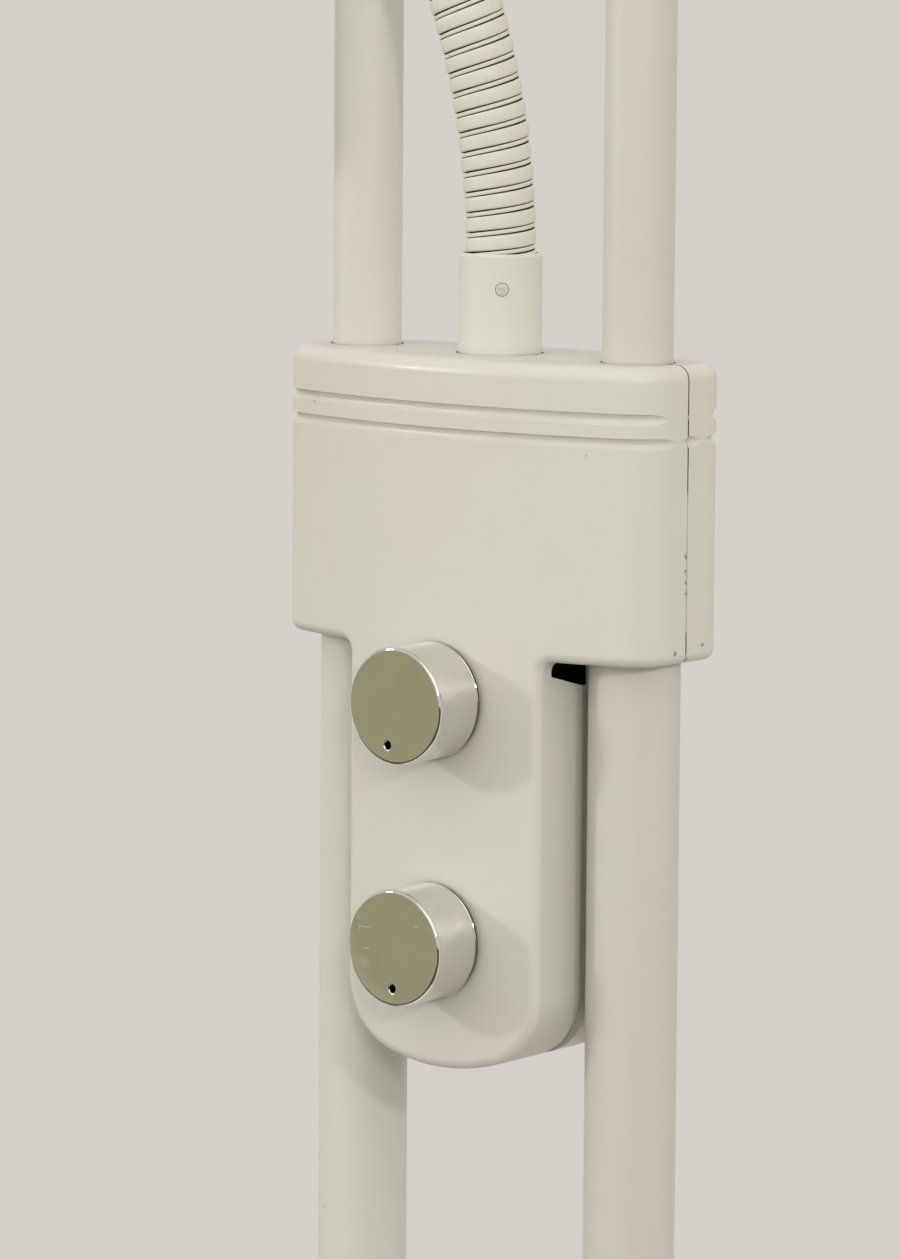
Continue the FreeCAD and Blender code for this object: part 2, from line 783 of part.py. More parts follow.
def bosses(name, along):
    pieces = [cylinder("%s_boss_%s" % (name, key), boss_r, s.casing_half_depth, (x, 0, z), along)
              for key, x, z in BOSSES]
    return common(name + "_bosses", skin, fuse(name + "_boss_rods", *pieces))


screw_r = s.screw_diameter / 2
screw_seat = s.casing_half_depth - s.casing_wall * 3.4
front_shell = common("front_half", hollow, front_space)
front_tools = grooves("front", -1, s.casing_front_radius) + tube_openings("front")
front_tools.append(box("tongue_relief", far, far, s.casing_height, (-far / 2, -s.tongue_gap,
                                                                    block_bottom - s.casing_height)))
for key, z in knob_heights:
    front_tools.append(cylinder("bushing_hole_" + key, s.dimmer_bushing / 2 + s.slip_gap / 2,
                                s.casing_half_depth, (0, -s.casing_half_depth / 2, z), "-Y"))
window = pressed("window_tool", [
    (s.tongue_gap / 2, s.casing_height),
    (s.window_front, s.casing_height),
    (s.window_front, s.casing_height + s.window_drop_front),
    (s.tongue_gap / 2, s.casing_height + s.window_drop_rear),
], casing_half * 2, middle=True)
window.Placement = FreeCAD.Placement(
    FreeCAD.Vector(0, 0, (block_bottom + s.casing_height).value),
    FreeCAD.Rotation(FreeCAD.Vector(0, -1, 0), FreeCAD.Vector(0, 0, -1), FreeCAD.Vector(1, 0, 0), "XYZ"))
bind(window, ".Placement.Base.z", block_bottom + s.casing_height)
window_span = box("window_span", far, s.casing_half_depth * 2, s.casing_height,
                  (-far / 2, -s.casing_half_depth * 2, block_bottom - s.casing_height))
front_tools.append(common("window_cut", window, window_span))
front_cut = cut("front_cut", front_shell, *front_tools)
front_joined = fuse("front_joined", front_cut, bosses("front", "-Y"))
pilots = [cylinder("pilot_" + key, screw_r + s.fit_gap, s.screw_engagement + screw_r * 2,
                   (x, screw_r, z), "-Y") for key, x, z in BOSSES]
finish("casing_front", cut("front_drilled", front_joined, *pilots))

rear_shell = common("rear_half", hollow, rear_space)
rear_tools = grooves("rear", 1, s.casing_rear_radius) + tube_openings("rear")
rear_cut = cut("rear_cut", rear_shell, *rear_tools)
lip_inner = casing_form("lip_inner", s.casing_wall + s.lip_thickness)
lip_outer = casing_form("lip_outer", s.casing_wall + s.fit_gap * 3)
lip_root = casing_form("lip_root", s.casing_wall - s.fit_gap * 3)
lip_low = casing_low - spare
lip_high = block_bottom - s.window_drop_rear - lip_low
lip_free = common("lip_free", cut("lip_free_ring", lip_outer, lip_inner),
                  box("lip_free_space", far, s.lip_reach + s.parting_gap, lip_high,
                      (-far / 2, -s.lip_reach, lip_low)))
lip_held = common("lip_held", cut("lip_held_ring", lip_root, lip_inner),
                  box("lip_held_space", far, s.lip_reach, lip_high, (-far / 2, half_gap, lip_low)))
rear_joined = fuse("rear_joined", rear_cut, lip_free, lip_held, bosses("rear", "+Y"))
rear_drill = []
for key, x, z in BOSSES:
    rear_drill.append(cylinder("screw_way_" + key, screw_r + s.slip_gap, s.casing_half_depth * 2,
                               (x, -screw_r, z), "+Y"))
    rear_drill.append(cylinder("screw_pocket_" + key, s.screw_head_diameter / 2 + s.slip_gap,
                               s.casing_half_depth, (x, screw_seat, z), "+Y"))
finish("casing_rear", cut("rear_drilled", rear_joined, *rear_drill))

screws = []
for key, x, z in BOSSES:
    screws.append(fuse("casing_screw_" + key,
                       cylinder("casing_screw_head_" + key, s.screw_head_diameter / 2, s.screw_head_height,
                                (x, screw_seat, z), "+Y"),
                       cylinder("casing_screw_shank_" + key, screw_r, screw_seat + s.screw_engagement,
                                (x, screw_seat, z), "-Y")))
finish("casing_screws", group("casing_screw_set", *screws))

# Dimmers and knobs

shaft_r = s.shaft_diameter / 2
dimmer_r = s.dimmer_diameter / 2
bushing_r = s.dimmer_bushing / 2
inner_bow = s.casing_bow_radius - s.casing_wall
dimmer_face = (inner_bow * inner_bow - dimmer_r * dimmer_r).root() - bow_centre
dimmer_back = dimmer_face - s.dimmer_depth
bushing_tip = s.casing_half_depth + s.dimmer_bushing_reach
knob_base = s.casing_half_depth + s.knob_stand_off
knob_face = knob_base + s.knob_height
knob_r = s.knob_diameter / 2
shaft_low = dimmer_back + s.dimmer_blind
shaft_high = knob_face - s.knob_web
nuts = []
for key, z in knob_heights:
    long = bushing_tip - dimmer_back
    finish(key + "_dimmer", turned(key + "_dimmer_body", [
        (0, 0),
        (dimmer_r, 0),
        (dimmer_r, s.dimmer_depth),
        (bushing_r, s.dimmer_depth),
        (bushing_r, long),
        (shaft_r + s.turn_gap, long),
        (shaft_r + s.turn_gap, s.dimmer_blind),
        (0, s.dimmer_blind),
    ], (0, -dimmer_back, z), "-Y"))
    nuts.append(cut("dimmer_nut_" + key,
                    hexagon("dimmer_nut_body_" + key, s.nut_flats, s.nut_thickness,
                            (0, -s.casing_half_depth, z), "-Y"),
                    cylinder("dimmer_nut_hole_" + key, bushing_r + s.fit_gap, s.nut_thickness * 3,
                             (0, -s.casing_half_depth + s.nut_thickness, z), "-Y")))
    finish(key + "_shaft", cylinder(key + "_shaft_rod", shaft_r, shaft_high - shaft_low - s.body_gap,
                                    (0, -shaft_low - s.body_gap, z), "-Y"))
    knob = turned(key + "_knob_body", [
        (shaft_r + s.fit_gap, s.knob_recess_depth),
        (s.knob_recess_diameter / 2, s.knob_recess_depth),
        (s.knob_recess_diameter / 2, 0),
        (knob_r, 0),
        (knob_r, s.knob_height - s.knob_bevel),
        (knob_r - s.knob_bevel, s.knob_height),
        (0, s.knob_height),
        (0, s.knob_height - s.knob_web),
        (shaft_r + s.fit_gap, s.knob_height - s.knob_web),
    ], (0, -knob_base, z), "-Y")
    pointer = s.upper_pointer_angle if key == "upper" else s.lower_pointer_angle
    dimple = doc.addObject("Part::Cone", key + "_dimple")
    bind(dimple, "Radius1", s.dimple_diameter / 2)
    bind(dimple, "Radius2", s.dimple_diameter / 5)
    bind(dimple, "Height", s.dimple_depth)
    place(dimple, (-s.dimple_radius * pointer.sin(), -knob_face, z - s.dimple_radius * pointer.cos()), "+Y")
    screw_y = -(knob_base + (s.knob_recess_depth + s.knob_height - s.knob_web) / 2)
    screw_hole = cylinder(key + "_knob_screw_hole", s.knob_screw_diameter / 2 + s.fit_gap, knob_r * 1.2,
                          (0, screw_y, z), "-Z")
    finish(key + "_knob", cut(key + "_knob_cut", knob, dimple, screw_hole))
    finish(key + "_knob_screw", cylinder(key + "_knob_grub", s.knob_screw_diameter / 2,
                                         (knob_r - shaft_r) * 0.7, (0, screw_y, z - shaft_r), "-Z"))
finish("dimmer_nuts", group("dimmer_nut_pair", *nuts))

board_front = -dimmer_back
board_back = board_front + s.board_thickness
board_half = boss_low_x - boss_r - s.board_boss_gap
board_low = casing_low + s.board_bottom_rise
board_high = top - s.board_top_drop
finish("dimmer_board", box("board", board_half * 2, s.board_thickness, board_high - board_low,
                           (-board_half, board_front, board_low)))
chokes = []
capacitors = []
heatsinks = []
for key, z in knob_heights:
    chokes.append(ring("choke_" + key, s.choke_diameter / 2, s.choke_hole / 2, s.choke_height,
                       (-board_half + s.choke_diameter / 2 + 0.5, board_back, z), "+Y"))
    capacitors.append(box("capacitor_" + key, s.capacitor_length, s.capacitor_height, s.capacitor_width,
                          (board_half - s.capacitor_length, board_back, z + s.heatsink_width / 2 + 1)))
    fin_x = board_half - s.heatsink_length
    fin_block = box("heatsink_block_" + key, s.heatsink_length, s.heatsink_height, s.heatsink_width,
                    (fin_x, board_back, z - s.heatsink_width / 2 - 1))
    fin_slot = box("heatsink_slot_" + key, s.heatsink_length - s.heatsink_wall * 2, s.heatsink_height,
                   s.heatsink_width * 3,
                   (fin_x + s.heatsink_wall, board_back + s.heatsink_wall, z - s.heatsink_width * 1.5))
    heatsinks.append(cut("heatsink_" + key, fin_block, fin_slot))
finish("dimmer_chokes", group("choke_pair", *chokes))
finish("dimmer_capacitors", group("capacitor_pair", *capacitors))
finish("dimmer_heatsinks", group("heatsink_pair", *heatsinks))

terminal_z = board_high - s.terminal_width - s.board_thickness
terminal_holes = [cylinder("terminal_hole_%d" % n, s.terminal_hole / 2, s.terminal_width * 3,
                           (s.terminal_length * (n - 1.5) / 4, board_back + s.terminal_height / 2,
                            terminal_z - s.terminal_width)) for n in range(4)]
finish("terminal_block", cut("terminal_cut",
                             box("terminal_body", s.terminal_length, s.terminal_height, s.terminal_width,
                                 (-s.terminal_length / 2, board_back, terminal_z)), *terminal_holes))

# Gooseneck

hose_r = s.hose_diameter / 2
sleeve_bore = hose_r + s.body_gap
sleeve_high = top + s.sleeve_reach
nipple_low = bridge_low - s.nipple_nut_thickness - 2
sleeve_body = turned("sleeve_body", [
    (nipple_r + s.fit_gap, 0),
    (sleeve_r, 0),
    (sleeve_r, sleeve_high - bridge_top - s.sleeve_edge),
    (sleeve_r - s.sleeve_edge, sleeve_high - bridge_top),
    (sleeve_bore, sleeve_high - bridge_top),
    (sleeve_bore, s.sleeve_floor),
    (nipple_r + s.fit_gap, s.sleeve_floor),
], (0, 0, bridge_top))
screw_turn = FreeCAD.Rotation(FreeCAD.Vector(0, 0, 1), s.sleeve_screw_turn.value)
grub_turn = screw_turn.multiply(TURNS["-Y"])
grub_hole = cylinder("sleeve_grub_hole", s.sleeve_screw_diameter / 2 + s.fit_gap, sleeve_r * 2,
                     (0, 0, top + s.sleeve_screw_height), grub_turn)
finish("neck_sleeve", cut("sleeve_cut", sleeve_body, grub_hole))
grub = cylinder("sleeve_grub", s.sleeve_screw_diameter / 2, sleeve_r - sleeve_bore - 0.1,
                (s.sleeve_screw_turn.sin() * sleeve_bore, -s.sleeve_screw_turn.cos() * sleeve_bore,
                 top + s.sleeve_screw_height), grub_turn)
finish("neck_sleeve_screw", grub)
finish("neck_nipple", ring("nipple", nipple_r, s.nipple_bore / 2, bridge_top + s.sleeve_floor - nipple_low,
                           (0, 0, nipple_low)))
finish("neck_nut", cut("nipple_nut", hexagon("nipple_nut_body", s.nipple_nut_flats, s.nipple_nut_thickness,
                                             (0, 0, bridge_low - s.nipple_nut_thickness)),
                       cylinder("nipple_nut_hole", nipple_r + s.fit_gap, s.nipple_nut_thickness * 3,
                                (0, 0, bridge_low - s.nipple_nut_thickness * 2))))

hose_low = sleeve_high - s.hose_straight
end_low = bridge_top + s.sleeve_floor + s.body_gap
finish("hose_end", ring("hose_end_plug", sleeve_bore - s.turn_gap, s.hose_end_bore / 2, hose_low - end_low,
                        (0, 0, end_low)))

bend_one = math.radians(s.hose_first_bend.value)
radius_one = s.hose_first_radius.value
radius_two = s.hose_second_radius.value
straight = s.hose_straight.value
length_one = radius_one * bend_one
length_two = radius_two * (math.pi - bend_one)
hose_length = straight * 2 + length_one + length_two
turn = math.radians(s.hose_turn.value)
lean = FreeCAD.Vector(math.cos(turn), math.sin(turn), 0)
across = FreeCAD.Vector(-math.sin(turn), math.cos(turn), 0)


def hose_point(along):
    """Reach, height and lean angle of the hose's axis at a length from its lower end."""
    if along <= straight:
        return 0.0, along, 0.0
    along -= straight
    if along <= length_one:
        angle = along / radius_one
        return radius_one * (1 - math.cos(angle)), straight + radius_one * math.sin(angle), angle
    reach = radius_one * (1 - math.cos(bend_one))
    height = straight + radius_one * math.sin(bend_one)
    along -= length_one
    if along <= length_two:
        angle = bend_one + along / radius_two
        return (reach + radius_two * (math.cos(bend_one) - math.cos(angle)),
                height + radius_two * (math.sin(angle) - math.sin(bend_one)), angle)
    reach += radius_two * (math.cos(bend_one) + 1)
    height -= radius_two * math.sin(bend_one)
    return reach, height - (along - length_two), math.pi


def hose_ring(along, radius):
    """A circle square to the hose's axis, its X axis always the same way."""
    reach, height, angle = hose_point(along)
    centre = lean * reach + FreeCAD.Vector(0, 0, hose_low.value + height)
    way = lean * math.sin(angle) + FreeCAD.Vector(0, 0, math.cos(angle))
    circle = Part.Circle()
    circle.Radius = radius
    frame = FreeCAD.Rotation(across, way.cross(across), way, "XYZ")
    edge = circle.toShape()
    edge.Placement = FreeCAD.Placement(centre, frame)
    return Part.Wire([edge])


ribs = int(round(hose_length / s.hose_pitch.value))
pitch = hose_length / ribs
crest = s.hose_crest.value * pitch / s.hose_pitch.value
flank = (pitch - crest) * 0.3
root_r = hose_r.value - s.hose_rib_depth.value
bands = []
for rib in range(ribs):
    begin = rib * pitch
    bands.append(hose_ring(begin, root_r))
    bands.append(hose_ring(begin + flank, hose_r.value))
    bands.append(hose_ring(begin + flank + crest, hose_r.value))
    bands.append(hose_ring(begin + flank * 2 + crest, root_r))
bands.append(hose_ring(hose_length, root_r))
bore_r = s.hose_bore.value / 2
steps = [0.0, straight]
steps += [straight + length_one * n / 6 for n in range(1, 7)]
steps += [straight + length_one + length_two * n / 18 for n in range(1, 19)]
steps.append(hose_length)
skin_faces = Part.makeLoft(bands, False, True).Faces
bore_faces = Part.makeLoft([hose_ring(a, bore_r) for a in steps], False, True).Faces
caps = [Part.Face([hose_ring(a, root_r), hose_ring(a, bore_r)], "Part::FaceMakerBullseye")
        for a in (0.0, hose_length)]
hose_shell = Part.Shell(skin_faces + bore_faces + caps)
hose_shell.sewShape()
hose_solid = Part.Solid(Part.Shell(hose_shell.Faces))
if hose_solid.Volume < 0:
    hose_solid.reverse()
hose = doc.addObject("Part::Feature", "hose")
hose.Shape = hose_solid
finish("gooseneck_hose", hose)

# Reading head

first_cos = s.hose_first_bend.cos()
reach_all = s.hose_first_radius * (1 - first_cos) + s.hose_second_radius * (1 + first_cos)
head_x = reach_all * s.hose_turn.cos()
head_y = reach_all * s.hose_turn.sin()
hose_drop = (s.hose_first_radius - s.hose_second_radius) * s.hose_first_bend.sin()
hose_tip = hose_low + hose_drop
head_bore_low = hose_tip - s.body_gap
head_low = head_bore_low - s.head_sleeve_floor
head_high = head_low + s.head_sleeve_length
head_sleeve = turned("head_sleeve_body", [
    (nipple_r + s.fit_gap, 0),
    (sleeve_r - s.sleeve_edge, 0),
    (sleeve_r, s.sleeve_edge),
    (sleeve_r, s.head_sleeve_length - s.sleeve_edge),
    (sleeve_r - s.sleeve_edge, s.head_sleeve_length),
    (sleeve_bore, s.head_sleeve_length),
    (sleeve_bore, s.head_sleeve_floor),
    (nipple_r + s.fit_gap, s.head_sleeve_floor),
], (head_x, head_y, head_low))
head_grub_z = head_high - (s.head_sleeve_length - s.head_sleeve_floor) / 2
head_grub_hole = cylinder("head_grub_hole", s.sleeve_screw_diameter / 2 + s.fit_gap, sleeve_r * 2,
                          (head_x, head_y, head_grub_z), "-Y")
finish("head_sleeve", cut("head_sleeve_cut", head_sleeve, head_grub_hole))
finish("head_sleeve_screw", cylinder("head_grub", s.sleeve_screw_diameter / 2, sleeve_r - sleeve_bore - 0.1,
                                     (head_x, head_y - sleeve_bore, head_grub_z), "-Y"))
holder_top = head_low - s.shade_wall
holder_low = holder_top - s.holder_length
nipple_reach = s.head_sleeve_floor + s.shade_wall + s.holder_wall
finish("head_nipple", ring("head_nipple_tube", nipple_r, s.nipple_bore / 2, nipple_reach,
                           (head_x, head_y, holder_top - s.holder_wall)))
shade_low = head_low - s.shade_length
shade_up = s.shade_length - s.shade_shoulder
finish("reading_shade", turned("shade", [
    (nipple_r + s.fit_gap, s.shade_length),
    (nipple_r + s.fit_gap, s.shade_length - s.shade_wall),
    (s.shade_top_radius - s.shade_wall / 2, s.shade_length - s.shade_wall),
    (s.shade_shoulder_radius - s.shade_wall, shade_up),
    (s.shade_mouth_radius - s.shade_wall, 0),
    (s.shade_mouth_radius, 0),
    (s.shade_shoulder_radius, shade_up),
    (s.shade_top_radius, s.shade_length),
], (head_x, head_y, shade_low)))
finish("reading_holder", turned("holder", [
    (s.cap_radius + s.fit_gap, 0),
    (s.holder_radius, 0),
    (s.holder_radius, s.holder_length),
    (nipple_r + s.fit_gap, s.holder_length),
    (nipple_r + s.fit_gap, s.holder_length - s.holder_wall),
    (s.cap_radius + s.fit_gap, s.holder_length - s.holder_wall),
], (head_x, head_y, holder_low)))
finish("reading_bulb_cap", cylinder("bulb_cap", s.cap_radius, s.cap_length,
                                    (head_x, head_y, holder_low - 2)))
bulb_top = holder_low - 2
inner_bulb = s.bulb_radius - s.bulb_wall
inner_neck = s.bulb_neck_radius - s.bulb_wall
inner_dome = s.bulb_dome_radius - s.bulb_wall
dome = s.bulb_dome_radius
dome_at = dome - (dome * dome - s.bulb_radius * s.bulb_radius).root()
inner_dome_at = dome - (inner_dome * inner_dome - inner_bulb * inner_bulb).root()
neck_at = s.bulb_length - s.bulb_neck_length
finish("reading_bulb", turned("bulb", [
    (0, 0, dome),
    (s.bulb_radius, dome_at),
    (s.bulb_neck_radius, neck_at),
    (s.bulb_neck_radius, s.bulb_length),
    (0, s.bulb_length),
    (0, s.bulb_length - s.bulb_wall),
    (inner_neck, s.bulb_length - s.bulb_wall),
    (inner_neck, neck_at),
    (inner_bulb, inner_dome_at, -inner_dome),
    (0, s.bulb_wall),
], (head_x, head_y, bulb_top - s.bulb_length)))

# Uplighter bowl

bowl_low = s.upper_tube_top
bracket_half = half_spacing + s.bracket_margin
bowl_floor_r = bracket_half + s.bowl_floor_margin
plug_r = upper_r - s.tube_wall - s.fit_gap
finish("top_plugs", group("top_plug_pair", *[
    ring("top_plug_" + side, plug_r, bolt_r + s.fit_gap, s.plug_length, (x, 0, bowl_low - s.plug_length))
    for side, x in SIDES]))
trim_r = upper_r + s.bowl_collar_wall
finish("bowl_collars", group("bowl_collar_pair", *[turned("bowl_collar_" + side, [
    (upper_r + s.fit_gap, 0),
    (trim_r - s.collar_edge, 0),
    (trim_r, s.collar_edge),
    (trim_r, s.bowl_collar_height),
    (upper_r + s.fit_gap, s.bowl_collar_height),
], (x, 0, bowl_low - s.bowl_collar_height)) for side, x in SIDES]))
bowl_body = turned("bowl_shell", [
    (0, 0),
    (bowl_floor_r, 0, s.bowl_curve_radius),
    (s.bowl_radius, s.bowl_height),
    (s.bowl_radius - s.bowl_wall, s.bowl_height, -(s.bowl_curve_radius - s.bowl_wall)),
    (bowl_floor_r - s.bowl_wall / 2, s.bowl_wall),
    (0, s.bowl_wall),
], (0, 0, bowl_low))
bowl_holes = [cylinder("bowl_hole_" + side, bolt_r + s.slip_gap, s.bowl_wall * 6,
                       (x, 0, bowl_low - s.bowl_wall * 3)) for side, x in SIDES]
finish("bowl", cut("bowl_cut", bowl_body, *bowl_holes))

floor_up = bowl_low + s.bowl_wall
plate_up = floor_up + s.bracket_thickness
bracket_w = s.bracket_width
bracket_shape = pressed("bracket_section", [
    (-bracket_half, 0),
    (bracket_half, 0),
    (bracket_half, s.bracket_height),
    (bracket_half - s.bracket_thickness, s.bracket_height),
    (bracket_half - s.bracket_thickness, s.bracket_thickness),
    (s.bracket_thickness - bracket_half, s.bracket_thickness),
    (s.bracket_thickness - bracket_half, s.bracket_height),
    (-bracket_half, s.bracket_height),
], bracket_w, (0, 0, floor_up), "XZ_Plane", True)
lamp_z = floor_up + s.lamp_height
bracket_tools = [cylinder("bracket_hole_" + side, bolt_r + s.slip_gap, s.bracket_thickness * 6,
                          (x, 0, floor_up - s.bracket_thickness * 3)) for side, x in SIDES]
bracket_tools.append(cylinder("bracket_screw_way", s.holder_screw_diameter / 2 + s.slip_gap,
                              bracket_half * 4, (-bracket_half * 2, 0, lamp_z), "+X"))
finish("lamp_bracket", cut("bracket_cut", bracket_shape, *bracket_tools))
finish("bowl_washers", group("bowl_washer_pair", *[
    ring("bowl_washer_" + side, s.washer_diameter / 2, bolt_r + s.slip_gap / 2, s.washer_thickness,
         (x, 0, plate_up)) for side, x in SIDES]))
head_seat = plate_up + s.washer_thickness
finish("bowl_bolts", group("bowl_bolt_pair", *[
    bolt("bowl_bolt_" + side, (x, 0, head_seat), "-Z", head_seat - bowl_low + s.bolt_engagement)
    for side, x in SIDES]))

upright = bracket_half - s.bracket_thickness
block_in = upright - s.holder_block_depth
screw_in = s.holder_block_depth * 0.6
blocks = []
fixings = []
tips = []
for side, sign in (("left", -1), ("right", 1)):
    corner = -upright if sign < 0 else block_in
    inwards = "-X" if sign > 0 else "+X"
    outwards = "+X" if sign > 0 else "-X"
    block_body = box("holder_block_body_" + side, s.holder_block_depth, s.holder_block_width,
                     s.holder_block_height,
                     (corner, -s.holder_block_width / 2, lamp_z - s.holder_block_height / 2))
    pilot = cylinder("holder_block_pilot_" + side, s.holder_screw_diameter / 2 + s.fit_gap, screw_in,
                     (upright * sign, 0, lamp_z), inwards)
    blocks.append(cut("holder_block_" + side, block_body, pilot))
    fixing_head = cylinder("holder_screw_head_" + side, s.holder_screw_head / 2,
                           s.holder_screw_diameter * 0.6, (bracket_half * sign, 0, lamp_z), outwards)
    fixing_shank = cylinder("holder_screw_shank_" + side, s.holder_screw_diameter / 2,
                            s.bracket_thickness + screw_in, (bracket_half * sign, 0, lamp_z), inwards)
    fixings.append(fuse("holder_screw_" + side, fixing_head, fixing_shank))
    tips.append(cylinder("halogen_cap_" + side, s.lamp_cap_diameter / 2, s.lamp_cap_length,
                         (block_in * sign, 0, lamp_z), inwards))
finish("lamp_holders", group("holder_pair", *blocks))
finish("holder_screws", group("holder_screw_pair", *fixings))
finish("halogen_caps", group("halogen_cap_pair", *tips))
tube_half = block_in - s.lamp_cap_length
finish("halogen_tube", cylinder("halogen", s.lamp_diameter / 2, tube_half * 2,
                                (-tube_half, 0, lamp_z), "+X"))

trough_half = s.reflector_half_length
trough_r = s.reflector_radius
finish("reflector", cut(
    "reflector_trough",
    cylinder("reflector_outer", trough_r, trough_half * 2, (-trough_half, 0, lamp_z), "+X"),
    cylinder("reflector_inner", trough_r - s.reflector_wall, trough_half * 4,
             (-trough_half * 2, 0, lamp_z), "+X"),
    box("reflector_open", trough_half * 4, trough_r * 4, trough_r * 2,
        (-trough_half * 2, -trough_r * 2, lamp_z - s.reflector_wall * 4))))
post_r = s.post_diameter / 2
foot = lamp_z - (trough_r * trough_r - post_r * post_r).root()
posts = []
for side, sign in (("left", -1), ("right", 1)):
    rod = cylinder("post_rod_" + side, post_r, s.lamp_height, (s.post_spacing / 2 * sign, 0, plate_up))
    saddle = cylinder("post_saddle_" + side, trough_r, trough_half * 4,
                      (-trough_half * 2, 0, lamp_z), "+X")
    trim = box("post_trim_" + side, trough_half * 4, trough_r * 4, trough_r * 4,
               (-trough_half * 2, -trough_r * 2, foot))
    posts.append(cut("post_" + side, rod, saddle, trim))
finish("reflector_posts", group("post_pair", *posts))

doc.recompute()
faults = [item.Name for item in doc.Objects if "Invalid" in item.State or "Error" in item.State]
for node, item in finished.items():
    if item.Shape.isNull() or not item.Shape.isValid() or not item.Shape.Solids:
        faults.append("shape of " + node)
if faults:
    raise RuntimeError("failed objects: " + ", ".join(faults))
os.makedirs("parts", exist_ok=True)
for node, item in finished.items():
    item.Shape.exportStep("parts/%s.step" % node)
print(len(finished), "parts written, hose ribs", ribs, "hose tip", round(hose_tip.value, 1))
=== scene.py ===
"""Dresses the solids of a twin-tube uplighter with a gooseneck reading lamp.

The solids are the fixed frame. This file adds the wound gooseneck, the turned knobs, the screw heads
and the lamp's filament, gives every part its finish, and sets the floor, the light and the camera.
"""
from __future__ import annotations

import json
import logging
import math
from dataclasses import dataclass
from enum import Enum

import bmesh
import bpy
from mathutils import Matrix, Vector

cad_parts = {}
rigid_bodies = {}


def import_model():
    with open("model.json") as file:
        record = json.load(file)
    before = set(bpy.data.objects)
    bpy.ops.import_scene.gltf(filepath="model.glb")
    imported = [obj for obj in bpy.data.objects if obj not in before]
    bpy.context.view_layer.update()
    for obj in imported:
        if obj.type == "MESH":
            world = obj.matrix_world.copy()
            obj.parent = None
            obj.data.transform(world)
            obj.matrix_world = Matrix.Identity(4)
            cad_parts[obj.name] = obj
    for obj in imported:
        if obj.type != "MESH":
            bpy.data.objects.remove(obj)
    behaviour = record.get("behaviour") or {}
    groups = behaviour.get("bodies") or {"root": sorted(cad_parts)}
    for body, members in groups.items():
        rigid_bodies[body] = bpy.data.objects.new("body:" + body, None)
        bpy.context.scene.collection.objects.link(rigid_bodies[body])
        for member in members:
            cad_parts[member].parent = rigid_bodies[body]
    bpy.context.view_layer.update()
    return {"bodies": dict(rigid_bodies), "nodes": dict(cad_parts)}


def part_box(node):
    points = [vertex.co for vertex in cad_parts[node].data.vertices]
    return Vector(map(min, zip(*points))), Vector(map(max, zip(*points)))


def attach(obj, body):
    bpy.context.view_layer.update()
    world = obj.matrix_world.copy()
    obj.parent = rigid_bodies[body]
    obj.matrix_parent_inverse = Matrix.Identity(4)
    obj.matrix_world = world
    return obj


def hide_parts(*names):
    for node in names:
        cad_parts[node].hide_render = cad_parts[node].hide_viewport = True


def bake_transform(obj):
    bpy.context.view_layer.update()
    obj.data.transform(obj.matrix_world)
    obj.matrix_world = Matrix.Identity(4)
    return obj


for leftover in list(bpy.data.objects):
    bpy.data.objects.remove(leftover)
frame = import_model()
LOG = logging.getLogger("uplighter")
Colour = tuple[float, float, float]
Point = tuple[float, float, float]
Scratch = tuple[float, float, float, float]
Span = tuple[float, float]
Socket = bpy.types.NodeSocket
MM = 0.001
WELD_DISTANCE = 0.00002
WOUND_CREASE = math.radians(40)
CARVED_CREASE = math.radians(32)
BOLT_CREASE = math.radians(25)

# The two ends of each scratch, across and up from the middle of the knob's face, in millimetres.
LOWER_KNOB_SCRATCHES: tuple[Scratch, ...] = (
    (-12.4, 4.8, -8.0, 4.7), (-11.7, 4.9, -11.8, 3.6), (-10.7, -1.3, -8.2, -0.8),
    (-12.6, 7.4, -11.4, 6.6), (7.2, 7.0, 8.9, 6.8), (9.5, -11.7, 10.1, -11.2))


class Body(str, Enum):
    """The moving bodies of the lamp."""

    STAND = "stand"
    UPPER_DIAL = "upper_dial"
    LOWER_DIAL = "lower_dial"
    NECK = "gooseneck"
    HEAD = "reading_head"


class Slot(str, Enum):
    """The names of the record's material slots."""

    HOSE = "hose_enamel"
    KNOB = "polished_knob"
    ZINC = "zinc_steel"


def shade(red: int, green: int, blue: int) -> Colour:
    """Turns a colour given as display values into the linear values that shaders take.

    Args:
        red: red from 0 to 255.
        green: green from 0 to 255.
        blue: blue from 0 to 255.

    Returns:
        The linear colour.
    """
    parts = [value / 255 for value in (red, green, blue)]
    linear = [p / 12.92 if p <= 0.04045 else ((p + 0.055) / 1.055) ** 2.4 for p in parts]
    return (linear[0], linear[1], linear[2])


def dimmed(tone: Colour, share: float) -> Colour:
    """Returns a share of a colour."""
    return (tone[0] * share, tone[1] * share, tone[2] * share)


